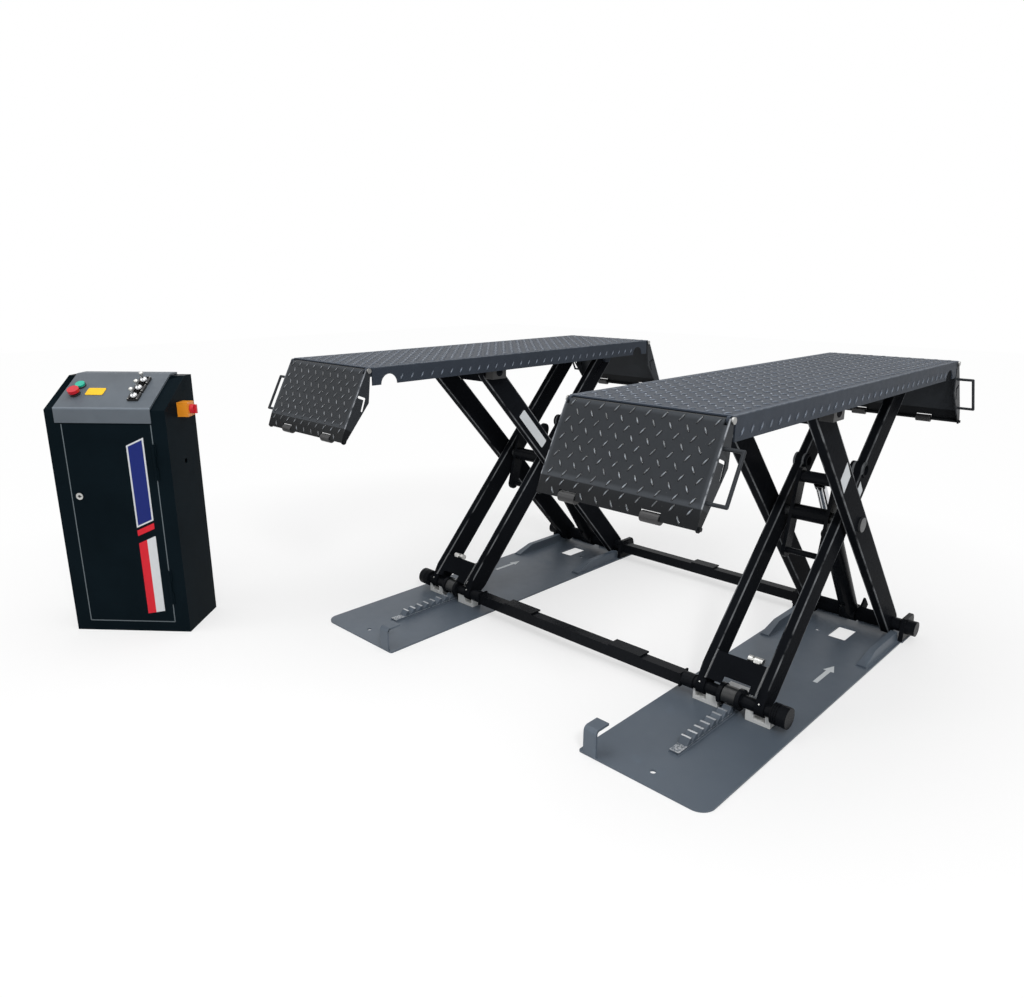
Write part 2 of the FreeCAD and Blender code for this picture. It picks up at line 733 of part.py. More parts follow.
for spot in roller_spots:
    roller = ring_x(roller_r, tip_rod_r + running, spot - roller_half, spot + roller_half, tip[0], tip[1])
    roller.translate(V(0, front_hinge_y, hinge_z))
    rollers.append(roller)
sides("front_rollers", group(rollers))
sides("rear_rollers", flip_y(group(rollers)))

# Control cabinet, in its own frame: x along its width, y into its depth
case_x = -1458.0
case_y = -2098.0
case_yaw = 41.0
case_width = 440.0
case_depth = 235.0
case_front = 847.0
case_rear = 947.0
slope_depth = 180.0
case_wall = 3.0
column = 55.0
sill = 38.0
header = 798.0
door_gap = 0.5
door_thick = 18.0
case_slope = math.degrees(math.atan2(case_rear - case_front, slope_depth))


def case(name, shape):
    placed = shape.copy()
    placed.rotate(V(0, 0, 0), V(0, 0, 1), case_yaw)
    placed.translate(V(case_x, case_y, 0))
    nodes["cabinet_" + name] = placed


def on_slope(shape, x, along, lift):
    placed = shape.copy()
    placed.rotate(V(0, 0, 0), V(1, 0, 0), case_slope)
    y, z = offset(offset((0, case_front), case_slope, along), case_slope + 90.0, lift)
    placed.translate(V(x, y, z))
    return placed


# Cabinet shell: sheet panels, hinge knuckles with their pins, cable gland hole and hose ports
hinge_x = case_width - column
inside_x = case_width - case_wall
inside_y = case_depth - case_wall
knuckle_r = 4.5
knuckle_pin = 2.0
knuckle_bore = knuckle_pin + running
knuckle_y = -knuckle_r - door_gap
knuckle_half = 22.0
leaf_half = 9.0
knuckle_low = 180.0
knuckle_high = 660.0
gland_hole_r = 10.0
gland_y = 120.0
gland_z = 640.0
hose_z = 120.0
hose_start = 110.0
hose_pitch = 60.0
hose_count = 4
hose_r = 9.0
hose_reach = 16.0
slope_slip = case_wall / math.cos(math.radians(case_slope))
front_wall_top = case_front - slope_slip + case_wall * math.tan(math.radians(case_slope))
wall = [(0, 0), (0, case_front), (slope_depth, case_rear), (case_depth, case_rear), (case_depth, 0)]
left_wall = slab(wall, 0, case_wall)
right_wall = slab(wall, inside_x, case_width).cut(round_x(gland_hole_r, 0, case_width, gland_y, gland_z))
back_wall = box(case_wall, inside_x, inside_y, case_depth, 0, case_rear)
floor_sheet = box(case_wall, inside_x, case_wall, inside_y, 0, case_wall)
roof = box(case_wall, inside_x, slope_depth, inside_y, case_rear - case_wall, case_rear)
slope_sheet = slab([(0, case_front - slope_slip), (0, case_front), (slope_depth, case_rear),
                    (slope_depth, case_rear - slope_slip)], case_wall, inside_x)
front_top = [(0, header), (0, case_front - slope_slip), (case_wall, front_wall_top), (case_wall, header)]
header_sheet = slab(front_top, case_wall, inside_x)
sill_sheet = box(case_wall, inside_x, 0, case_wall, 0, sill)
left_column = box(case_wall, column, 0, case_wall, sill, header)
hinge_side = [box(hinge_x, inside_x, 0, case_wall, sill, header)]
for z in (knuckle_low, knuckle_high):
    for end in (-1, 1):
        middle = z + end * 2 * knuckle_half
        knuckle = round_z(knuckle_r, middle - knuckle_half, middle + knuckle_half, hinge_x, knuckle_y)
        leaf = box(hinge_x, hinge_x + leaf_half, knuckle_y, 0, middle - knuckle_half, middle + knuckle_half)
        hinge_side += [knuckle, leaf]
    hinge_side.append(round_z(knuckle_pin, z - knuckle_half, z + knuckle_half, hinge_x, knuckle_y))
ports = []
for k in range(hose_count):
    ports.append(round_y(hose_r, case_depth, case_depth + hose_reach, hose_start + k * hose_pitch, hose_z))
case("shell", group([left_wall, right_wall, back_wall, floor_sheet, roof, slope_sheet, header_sheet,
                     sill_sheet, left_column, join(hinge_side)] + ports))

# Hood over the sloped top
hood_in = 35.0
hood_out = 388.0
hood_thick = 8.0
hood_lip = 46.0
panel_lift = hood_thick + body_gap
roof_z = case_rear + panel_lift
hood_nose = offset((0, case_front), case_slope + 90.0, panel_lift)
hood_break = offset(hood_nose, case_slope, (roof_z - hood_nose[1]) / math.sin(math.radians(case_slope)))
hood_points = [(hood_nose[0], case_front - hood_lip), hood_nose, hood_break, (case_depth, roof_z),
               (case_depth, case_rear + body_gap), (slope_depth, case_rear + body_gap),
               (-body_gap, case_front + body_gap), (-body_gap, case_front - hood_lip)]
case("hood", slab(hood_points, hood_in, hood_out))

# Door with its two hinge knuckles
door_pan = case_wall
door = box(column + door_gap, hinge_x - door_gap, 0, door_thick, sill + door_gap, header - door_gap)
door = door.cut(box(column + door_gap + door_pan, hinge_x - door_gap - door_pan, door_pan, door_thick,
                    sill + door_gap + door_pan, header - door_gap - door_pan))
door_parts = [door]
for z in (knuckle_low, knuckle_high):
    low = z - knuckle_half + body_gap
    high = z + knuckle_half - body_gap
    door_parts.append(round_z(knuckle_r, low, high, hinge_x, knuckle_y))
    door_parts.append(box(hinge_x - leaf_half, hinge_x, knuckle_y, 0, low, high))
door = join(door_parts)
for z in (knuckle_low, knuckle_high):
    door = door.cut(round_z(knuckle_bore, z - overrun, z + overrun, hinge_x, knuckle_y))
lock_x = 86.0
lock_z = 530.0
lock_r = 11.0
lock_bore = lock_r + running
door = door.cut(round_y(lock_bore, -overrun, overrun, lock_x, lock_z))
case("door", door)

# Quarter-turn lock of the door
lock_head_r = 13.0
lock_head = 3.0
lock_tail = 24.0
lock_slot_half = 1.5
lock_slot_depth = 2.0
cam_thick = 3.0
cam_reach = 42.0
cam_half = 7.0
lock = join([round_y(lock_r, -body_gap, lock_tail, lock_x, lock_z),
             round_y(lock_head_r, -lock_head - body_gap, -body_gap, lock_x, lock_z),
             box(lock_x - cam_half, lock_x + cam_half, lock_tail - cam_thick, lock_tail,
                 lock_z, lock_z + cam_reach)])
lock = lock.cut(box(lock_x - lock_r, lock_x + lock_r, -lock_head - body_gap, lock_slot_depth - lock_head,
                    lock_z - lock_slot_half, lock_z + lock_slot_half))
case("door_lock", lock)

# Motor with pump and the oil tank inside the cabinet
tank_in = 60.0
tank_out = 350.0
tank_front = 50.0
tank_rear = 210.0
tank_top = 300.0
tank_wall = 3.0
filler_r = 18.0
filler_rise = 22.0
filler_x = 110.0
filler_y = 90.0
motor_x = 240.0
motor_y = 130.0
motor_r = 70.0
motor_low = 340.0
motor_high = 600.0
pump_half = 45.0
fin_count = 8
fin_r = 76.0
fin_width = 5.0
fin_pitch = 25.0
tank = box(tank_in, tank_out, tank_front, tank_rear, case_wall, tank_top)
tank = tank.cut(box(tank_in + tank_wall, tank_out - tank_wall, tank_front + tank_wall, tank_rear - tank_wall,
                    case_wall + tank_wall, tank_top - tank_wall))
tank = tank.cut(round_z(filler_r - tank_wall, tank_top - tank_wall, tank_top, filler_x, filler_y))
filler = round_z(filler_r, tank_top, tank_top + filler_rise, filler_x, filler_y)
case("oil_tank", join([tank, filler]))
pump = box(motor_x - pump_half, motor_x + pump_half, motor_y - pump_half, motor_y + pump_half,
           tank_top, motor_low)
motor_parts = [pump, round_z(motor_r, motor_low, motor_high, motor_x, motor_y)]
for k in range(fin_count):
    low = motor_low + fin_width + k * fin_pitch
    motor_parts.append(round_z(fin_r, low, low + fin_width, motor_x, motor_y))
case("motor_pump", join(motor_parts))

# Fixed fittings of the sloped panel: button rings, lever bases and a blank plate
button_inset = 49.5
lever_inset = 277.0
blank_inset = 119.0
green_along = 128.0
red_along = 80.0
valve_start = 62.0
valve_pitch = 47.0
valve_names = ("front", "middle", "rear")
ring_r = 19.0
ring_rise = 6.0
button_rest = 4.5
green_r = 16.5
red_r = 20.0
red_stem = 9.0
base_wide = 20.0
base_long = 20.0
base_rise = 9.0
lever_slot = 4.5
blank_along = 95.0
blank_half = 33.0
blank_rise = 20.0
blank_thick = 1.5
button_gap = 0.1
button_x = hood_in + button_inset
lever_x = hood_in + lever_inset
blank_x = hood_in + blank_inset
green_ring = round_z(ring_r, 0, ring_rise, 0, 0).cut(round_z(green_r + button_gap, 0, ring_rise, 0, 0))
red_ring = round_z(ring_r, 0, ring_rise, 0, 0).cut(round_z(red_stem + button_gap, 0, ring_rise, 0, 0))
lever_base = box(-base_wide, base_wide, -base_long, base_long, 0, base_rise)
lever_base = lever_base.cut(box(-lever_slot, lever_slot, weld - base_long, base_long - weld,
                                weld, base_rise))
blank = box(-blank_half, blank_half, -blank_rise, blank_rise, 0, blank_thick)
fittings = [on_slope(green_ring, button_x, green_along, panel_lift),
            on_slope(red_ring, button_x, red_along, panel_lift),
            on_slope(blank, blank_x, blank_along, panel_lift)]
for k in range(len(valve_names)):
    fittings.append(on_slope(lever_base, lever_x, valve_start + k * valve_pitch, panel_lift))
case("panel_fittings", group(fittings))

# Buttons and valve levers of the sloped panel
green_rise = 12.0
red_neck = 12.0
red_rise = 24.0
lever_bar_r = 4.0
lever_reach = 38.0
lever_knob_r = 8.0
lever_pivot_r = 3.0
lever_start = base_rise / 2
pivot_half = lever_slot - body_gap
green = round_z(green_r, button_rest, green_rise, 0, 0)
case("green_button", on_slope(green, button_x, green_along, panel_lift))
red = join([round_z(red_stem, button_rest, red_neck, 0, 0), round_z(red_r, red_neck, red_rise, 0, 0)])
case("red_button", on_slope(red, button_x, red_along, panel_lift))
toggle = join([round_x(lever_pivot_r, -pivot_half, pivot_half, 0, lever_start),
               round_z(lever_bar_r, lever_start, lever_reach, 0, 0),
               Part.makeSphere(lever_knob_r, V(0, 0, lever_reach))])
for k, name in enumerate(valve_names):
    case("valve_lever_" + name, on_slope(toggle, lever_x, valve_start + k * valve_pitch, panel_lift))

# Main switch on the right side wall
switch_inset = 115.0
switch_z = 835.0
switch_half = 26.0
switch_depth = 40.0
spindle_r = 6.0
spindle_bore = spindle_r + running
knob_r = 17.0
knob_depth = 14.0
grip_half = 4.0
grip_rise = 8.0
spindle_start = 26.0
switch_y = case_depth - switch_inset
face_x = case_width + switch_depth
knob_back = face_x + body_gap
knob_face = knob_back + knob_depth
switch = box(case_width, face_x, switch_y - switch_half, switch_y + switch_half,
             switch_z - switch_half, switch_z + switch_half)
switch = switch.cut(round_x(spindle_bore, case_width + spindle_start, face_x, switch_y, switch_z))
case("main_switch", switch)
knob = join([round_x(spindle_r, case_width + spindle_start + weld, knob_back, switch_y, switch_z),
             round_x(knob_r, knob_back, knob_face, switch_y, switch_z),
             box(knob_face, knob_face + grip_rise, switch_y - grip_half, switch_y + grip_half,
                 switch_z - knob_r + weld, switch_z + knob_r - weld)])
case("main_switch_knob", knob)

# Move the whole so that the origin is the bottom centre of its box
whole = FreeCAD.BoundBox()
for shape in nodes.values():
    whole.add(shape.BoundBox)
shift = V(-whole.Center.x, -whole.Center.y, -whole.ZMin)
for name, shape in nodes.items():
    moved = shape.copy()
    moved.translate(shift)
    moved.exportStep("parts/" + name + ".step")
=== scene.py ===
import json
import math

import bmesh
import bpy
from bpy.props import FloatProperty, FloatVectorProperty, PointerProperty
from mathutils import Matrix, Vector


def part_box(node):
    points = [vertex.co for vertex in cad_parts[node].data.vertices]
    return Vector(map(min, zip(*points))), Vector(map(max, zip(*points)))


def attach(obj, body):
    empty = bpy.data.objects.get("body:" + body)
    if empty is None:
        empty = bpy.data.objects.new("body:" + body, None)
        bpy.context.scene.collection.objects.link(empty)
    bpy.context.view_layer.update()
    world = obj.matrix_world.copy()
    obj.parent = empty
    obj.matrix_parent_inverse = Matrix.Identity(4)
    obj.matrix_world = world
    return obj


bl_info = {
    "name": "Scissor Lift Looks",
    "version": (1, 0, 0),
    "blender": (4, 5, 0),
    "location": "View3D > Sidebar > Scissor Lift",
    "description": "Tread plate, paint, welds, marks and stage for a portable scissor lift",
    "category": "Object",
}

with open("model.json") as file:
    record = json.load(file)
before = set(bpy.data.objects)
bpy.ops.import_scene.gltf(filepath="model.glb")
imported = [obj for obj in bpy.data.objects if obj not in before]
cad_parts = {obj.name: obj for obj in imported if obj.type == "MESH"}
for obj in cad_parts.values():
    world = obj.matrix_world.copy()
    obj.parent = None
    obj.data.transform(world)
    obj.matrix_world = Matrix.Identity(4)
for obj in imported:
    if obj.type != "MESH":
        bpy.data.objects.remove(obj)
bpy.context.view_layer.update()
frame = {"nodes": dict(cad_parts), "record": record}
NODES = frame["nodes"]

MM = 0.001
SIDES = ("right", "left")
ENDS = ("front", "rear")
ACROSS = Vector((1, 0, 0))
REARWARD = Vector((0, 1, 0))
UP = Vector((0, 0, 1))


def middle(node):
    low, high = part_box(node)
    return (low + high) / 2


# Places of the CAD frame that the pieces hang on
SIDE_X = {side: middle(side + "_base_plate").x for side in SIDES}
MIDDLE_X = (SIDE_X["right"] + SIDE_X["left"]) / 2
SIDE_HALF = (SIDE_X["right"] - SIDE_X["left"]) / 2
OUTWARD = {"right": 1, "left": -1}
PIVOT = middle("right_rear_shaft")
EAR_REACH = 12 * MM
PIN_HEAD = 8 * MM
DECK_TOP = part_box("right_deck")[1].z
DECK_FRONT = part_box("right_deck")[0].y + EAR_REACH
DECK_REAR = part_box("right_deck")[1].y - EAR_REACH
DECK_LONG = DECK_REAR - DECK_FRONT
HINGE_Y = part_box("right_deck_hinge_pins")[0].y + PIN_HEAD
HINGE_Z = middle("right_deck_hinge_pins").z

# Deck
DECK_HALF = 224 * MM
SKIRT_DEPTH = 58 * MM
SKIRT_START = 2 * MM
NOTCH_INSET = 78 * MM
NOTCH_R = 33 * MM

# Ramp, in the plane across its hinge
RAMP_LEAN = math.radians(27.7)
LIP_LEAN = math.radians(20.3)
RAMP_FACE = 10 * MM
RAMP_LONG = 198 * MM
LIP_LONG = 48 * MM
ROLLER_SPOTS = (-130 * MM, 105 * MM)

# Plain room round the tread's bars
DECK_EDGE = 12 * MM
SKIRT_EDGE = 6 * MM
SKIRT_END = 20 * MM
NOTCH_EDGE = 12 * MM
RAMP_EDGE = 10 * MM
LIP_EDGE = 12 * MM
ROLLER_EDGE = 40 * MM
ROLLER_TOP = 22 * MM

# How far a bar runs across for each length that it runs along
BAR_SLANT = 0.65

# Base plate and rack
PLATE_TOP = 6 * MM
CROWN_TOP = 34 * MM
TAB_TOP = 14 * MM
# Rack crowns along from the rear shaft: palest up to the first place and plain from the second, partly worn
# paint and partly a painted highlight on the lit tops
CROWN_PALEST_TO = PIVOT.y - 1160 * MM
CROWN_PLAIN_FROM = PIVOT.y - 920 * MM

# Direction arrow, along from the rear shaft and across from its own middle
ARROW_X = 110 * MM
ARROW_TAIL = -545 * MM
ARROW_NECK = -438 * MM
ARROW_TIP = -391 * MM
ARROW_SHAFT_HALF = 7.5 * MM
ARROW_HEAD_HALF = 18.5 * MM

# Seams on the base plate, across from its middle and along from the rear shaft
RIPPLE = 4.5 * MM
CURB_LINES = (161.5 * MM, 195.5 * MM)
CURB_SPAN = (-332 * MM, -30 * MM)
RACK_LINES = (16 * MM, -16 * MM)
RACK_SPAN = (-1219 * MM, -882 * MM)
STOP_LINES = (-190 * MM, -145 * MM)
STOP_SPAN = (-1391 * MM, -1384 * MM)
BEARING_LINES = (196 * MM, 212 * MM)
BEARING_SPAN = (-34 * MM, 84 * MM)

# Arms: the place of the lower shaft and the angle, then their section
RAISE = math.radians(47.2)
LOWER_ARM = 664 * MM
SLIDER_Y = PIVOT.y - 2 * LOWER_ARM * math.cos(RAISE)
INNER_ARM = (Vector((0, SLIDER_Y, PIVOT.z)), RAISE)
OUTER_ARM = (Vector((0, PIVOT.y, PIVOT.z)), math.pi - RAISE)
INNER_HALF = 40 * MM
INNER_FACES = (85 * MM, 115 * MM)
OUTER_HALF = 42 * MM
OUTER_FACES = (130 * MM, 160 * MM)

# Seams of the arms' cross plates, along the arm and up from its middle line
INNER_CROSS = (18 * MM, 114 * MM)
INNER_CROSS_UP = 40.5 * MM
INNER_CROSS_FOOT = 34 * MM
OUTER_CROSS = (LOWER_ARM + 440 * MM, LOWER_ARM + 540 * MM)
OUTER_CROSS_UP = -36 * MM

# Blank plates along the arms, with half sizes of the diamonds and sizes of the strip
MARK_THICK = 0.4 * MM
BLANK_LIFT = 0.2 * MM
OUTER_BLANK_AT = LOWER_ARM + 250 * MM
OUTER_DIAMOND = (36.4 * MM, 47.6 * MM)
INNER_BLANK_AT = LOWER_ARM + 115 * MM
INNER_DIAMOND = (26 * MM, 34 * MM)
STRIP_AT = LOWER_ARM + 215 * MM
STRIP_LONG = 200 * MM
STRIP_WIDE = 38 * MM
STRIP_CORNER = 6 * MM

# Grease nipples on the inner arms' lower eyes
NIPPLE_X = 100.5 * MM
NIPPLE_UP = 28 * MM
NIPPLE_WIDE = 5 * MM
NIPPLE_HIGH = 9 * MM

# Cabinet: its front left foot, its turn and its sloped top
CASE_AT = Vector((SIDE_X["right"] - 2098 * MM, PIVOT.y - 2098 * MM, 0))
CASE_YAW = math.radians(41.0)
CASE_FRONT = 847 * MM
CASE_REAR = 947 * MM
SLOPE_DEEP = 180 * MM
SLOPE = math.atan2(CASE_REAR - CASE_FRONT, SLOPE_DEEP)
PANEL_LIFT = 8.3 * MM

# Plain band on the door, across from the cabinet's left edge and up from the floor
BAND_LEFT = 284 * MM
BAND_SPLIT = 316 * MM
BAND_RIGHT = 350 * MM
BAND_RISE = 30 * MM
BAND_FOOT_SHARE = 0.4
LOW_BLOCK = (72 * MM, 352 * MM)
SMALL_BLOCK = (380 * MM, 402 * MM)
HIGH_BLOCK = (412 * MM, 720 * MM)
BAND_RIM = 6 * MM
BLUE_THICK = 0.7 * MM

# Door, the painted highlights along its seams and the lock
DOOR_LEFT = 56.2 * MM
DOOR_RIGHT = 383.8 * MM
DOOR_LOW = 40 * MM
DOOR_HIGH = 796 * MM
EDGE_HIGHLIGHT_HALF = 1.8 * MM
SEAM_THICK = 0.6 * MM
LOCK_AT = (86 * MM, -3.3 * MM, 530 * MM)
KEYWAY_WIDE = 10 * MM
KEYWAY_CORNER = 4.9 * MM

# Pieces on the hood's panel, across and up its slope from its lower left corner
PANEL_BLANK_X = 154 * MM
PANEL_BLANK_UP = 95 * MM
PANEL_BLANK_WIDE = 66 * MM
PANEL_BLANK_HIGH = 40 * MM
PANEL_BLANK_CORNER = 5 * MM
PANEL_BLANK_THICK = 2 * MM
VALVE_X = 312 * MM
VALVES = (("front", 62 * MM), ("middle", 109 * MM), ("rear", 156 * MM))
SCREW_REACH = 16.5 * MM
SCREW_LIFT = 9.4 * MM
SCREW_WIDE = 4.5 * MM
SCREW_HIGH = 1.5 * MM
DOME_LIFT = 9.2 * MM
DOME_WIDE = 26 * MM
DOME_HIGH = 22 * MM

# Stage, in metres: each lamp has its place, its aim, its width and its power
FLOOR_HALF = 14.0
FLOOR_MIDDLE_Y = PIVOT.y - 0.8
FLOOR_Z = -0.5 * MM
FLOOR_FADE = (1.4, 2.7)
SKY_STRENGTH = 0.42
LAMPS = (("overhead", (0.2, -0.6, 4.2), (0.0, -0.2, 0.0), 4.5, 120.0),
         ("front_left", (-3.2, -4.6, 2.6), (0.0, 0.0, 0.5), 1.8, 40.0),
         ("key", (3.6, -2.4, 3.4), (0.3, 0.0, 0.5), 0.7, 90.0))
CAMERA_AT = (SIDE_X["right"] + 1.0343, PIVOT.y - 2.9406, 1.3063)
CAMERA_YAW = math.radians(44.14)
CAMERA_PITCH = math.radians(15.80)
LENS_LONG = 27.84
SENSOR_WIDE = 36.0


class LiftSizes(bpy.types.PropertyGroup):
    tread_pitch: FloatProperty(name="Tread pitch", default=0.044, unit="LENGTH",
                               description="Distance between like bars of the tread plate")
    bar_length: FloatProperty(name="Bar length", description="Length of one raised bar", default=0.025,
                              unit="LENGTH")
    bar_width: FloatProperty(name="Bar width", description="Width of one raised bar", default=0.0060,
                             unit="LENGTH")
    bar_height: FloatProperty(name="Bar height", description="Height of one raised bar", default=0.0024,
                              unit="LENGTH")
    edge: FloatProperty(name="Edge", description="Rounding on the edges of the metal parts", default=0.0012,
                        unit="LENGTH")
    bead: FloatProperty(name="Weld bead", description="Radius of a weld bead", default=0.0032, unit="LENGTH")


class LiftColours(bpy.types.PropertyGroup):
    arm_paint: FloatVectorProperty(name="Arms", description="Gloss black of the arms and beams",
                                   default=(0.007, 0.008, 0.010), subtype="COLOR")
    base_paint: FloatVectorProperty(name="Base plates", description="Blue-grey of the base plates",
                                    default=(0.085, 0.107, 0.135), subtype="COLOR")
    deck_paint: FloatVectorProperty(name="Decks", description="Blue-grey of the decks",
                                    default=(0.028, 0.035, 0.047), subtype="COLOR")
    ramp_paint: FloatVectorProperty(name="Ramps", description="Black of the ramps",
                                    default=(0.026, 0.029, 0.033), subtype="COLOR")
    cabinet_paint: FloatVectorProperty(name="Cabinet", description="Near-black navy of the cabinet",
                                       default=(0.004, 0.008, 0.011), subtype="COLOR")
    hood_paint: FloatVectorProperty(name="Hood", description="Grey of the cabinet's hood",
                                    default=(0.094, 0.110, 0.128), subtype="COLOR")
    white_nylon: FloatVectorProperty(name="Slide blocks", description="Off-white of the nylon blocks",
                                     default=(0.70, 0.71, 0.70), subtype="COLOR")
    mark_paint: FloatVectorProperty(name="Marks", description="Off-white of the painted arrows and strips",
                                    default=(0.60, 0.63, 0.65), subtype="COLOR")
    red: FloatVectorProperty(name="Red", description="Red of buttons and bands",
                             default=(0.55, 0.010, 0.022), subtype="COLOR")
    green: FloatVectorProperty(name="Green", description="Green of the start button",
                               default=(0.008, 0.42, 0.29), subtype="COLOR")
    blue: FloatVectorProperty(name="Blue", description="Blue of the plain band",
                              default=(0.012, 0.022, 0.150), subtype="COLOR")
    orange: FloatVectorProperty(name="Orange", description="Orange of the main switch",
                                default=(0.75, 0.26, 0.012), subtype="COLOR")
    yellow: FloatVectorProperty(name="Yellow", description="Yellow of the blank plate",
                                default=(0.85, 0.52, 0.01), subtype="COLOR")


class Num:
    """A number inside a shader, so that shader sums are written as plain sums."""

    def __init__(self, finish, socket):
        self.finish = finish
        self.socket = socket

    def __add__(self, other):
        return self.finish.sum("ADD", self, other)

    __radd__ = __add__

    def __mul__(self, other):
        return self.finish.sum("MULTIPLY", self, other)

    __rmul__ = __mul__

    def __sub__(self, other):
        return self.finish.sum("SUBTRACT", self, other)

    def __rsub__(self, other):
        return self.finish.sum("SUBTRACT", other, self)

    def __abs__(self):
        return self.finish.sum("ABSOLUTE", self, 0.0)

    def least(self, other):
        return self.finish.sum("MINIMUM", self, other)

    def most(self, other):
        return self.finish.sum("MAXIMUM", self, other)

    def over(self, limit):
        return self.finish.sum("GREATER_THAN", self, limit)

    def between(self, low, high):
        """0 below low, 1 above high and a straight line between them."""
        node = self.finish.node("ShaderNodeMapRange", {"clamp": True},
                                {"Value": self, "From Min": low, "From Max": high})
        return Num(self.finish, node.outputs["Result"])


class Finish:
    """One material: a Principled shader and what feeds it."""

    def __init__(self, name):
        self.material = bpy.data.materials.new(name)
        self.material.use_nodes = True
        self.tree = self.material.node_tree
        self.shader = self.tree.nodes["Principled BSDF"]
        self.place = self.node("ShaderNodeTexCoord", {}, {}).outputs["Object"]

    def node(self, kind, settings, sockets):
        node = self.tree.nodes.new(kind)
        for key, value in settings.items():
            setattr(node, key, value)
        for key, value in sockets.items():
            self.feed(node.inputs[key], value)
        return node

    def feed(self, socket, value):
        if isinstance(value, Num):
            self.tree.links.new(value.socket, socket)
        elif isinstance(value, bpy.types.NodeSocket):
            self.tree.links.new(value, socket)
        elif isinstance(value, (tuple, list)) and len(socket.default_value) == 4 and len(value) == 3:
            socket.default_value = (*value, 1.0)
        else:
            socket.default_value = value

    def sum(self, operation, first, second):
        node = self.node("ShaderNodeMath", {"operation": operation}, {0: first, 1: second})
        return Num(self, node.outputs[0])

    def noise(self, scale, detail=3.0, rough=0.55, place=None):
        node = self.node("ShaderNodeTexNoise", {}, {"Vector": place or self.place, "Scale": scale,
                                                    "Detail": detail, "Roughness": rough})
        return Num(self, node.outputs["Fac"])

    def spots(self, scale, reach):
        node = self.node("ShaderNodeTexVoronoi", {}, {"Vector": self.place, "Scale": scale})
        return 1 - Num(self, node.outputs["Distance"]).between(0.0, reach)

    def stretched(self, sizes):
        return self.node("ShaderNodeMapping", {}, {"Vector": self.place, "Scale": sizes}).outputs["Vector"]

    def part(self, axis):
        """One coordinate of the place, X, Y or Z."""
        return Num(self, self.node("ShaderNodeSeparateXYZ", {}, {"Vector": self.place}).outputs[axis])

    def past(self, start, way):
        """How far the place lies past start, measured along way."""
        node = self.node("ShaderNodeVectorMath", {"operation": "DOT_PRODUCT"}, {0: self.place, 1: way})
        return Num(self, node.outputs["Value"]) - start.dot(way)

    def beside(self):
        """Distance across from the middle of the nearer side of the lift."""
        return abs(abs(self.part("X") - MIDDLE_X) - SIDE_HALF)

    def rise(self):
        """How far up a stud the place is: 0 at the plate and 1 at its crown."""
        return Num(self, self.node("ShaderNodeAttribute", {"attribute_name": "rise"}, {}).outputs["Fac"])

    def blend(self, share, first, second):
        node = self.node("ShaderNodeMix", {"data_type": "RGBA"}, {"Factor": share})
        self.feed(node.inputs[6], first)
        self.feed(node.inputs[7], second)
        return node.outputs[2]

    def set(self, **sockets):
        names = {"colour": "Base Color", "rough": "Roughness", "metal": "Metallic",
                 "specular": "Specular IOR Level"}
        for key, value in sockets.items():
            self.feed(self.shader.inputs[names[key]], value)

    def bump(self, height, depth, strength=0.5):
        node = self.node("ShaderNodeBump", {}, {"Height": height, "Distance": depth, "Strength": strength})
        self.feed(self.shader.inputs["Normal"], node.outputs["Normal"])


def tone(colour, share):
    return tuple(min(1.0, part * share) for part in colour)


def painted(name, colour, rough, shine, mottle, peel, dust, bar=None):
    """Sprayed paint: cloudy tone, orange peel, fine scuffs and settled dust.

    bar is an arm, half its height and its two faces' distances from the side's middle. The paint is
    lighter along the four corners of that arm, as a painted highlight where the corners catch the light.
    """
    paint = Finish(name)
    cloud = paint.noise(4.0, 4.0)
    patch = paint.noise(23.0, 5.0)
    shade = paint.blend(cloud.between(0.3, 0.7), tone(colour, 1 - mottle), tone(colour, 1 + mottle))
    worn = (patch * cloud).between(0.33, 0.46)
    shade = paint.blend(worn * dust, shade, tone(colour, 2.4))
    if bar:
        arm, half, (near, far) = bar
        edge = abs(paint.past(arm[0], arm_ways(arm)[1])).between(half - 4.5 * MM, half - 2.5 * MM)
        to_face = abs(paint.beside() - near).least(abs(paint.beside() - far))
        corner = edge * (1 - to_face.between(2.5 * MM, 4.5 * MM))
        # Painted highlight: pale grey along the arm's corners, broken by noise
        shade = paint.blend(corner * paint.noise(11.0, 5.0).between(0.36, 0.56) * 0.8, shade,
                            (0.20, 0.21, 0.22))
    speck = paint.spots(95.0, 0.11) * paint.noise(9.0).over(0.60)
    shade = paint.blend(speck * 0.35, shade, (0.30, 0.30, 0.29))
    paint.set(colour=shade, rough=patch * 0.16 + worn * 0.12 + (rough - 0.08), specular=shine)
    paint.bump(paint.noise(420.0, 2.0), peel, 0.35)
    return paint.material


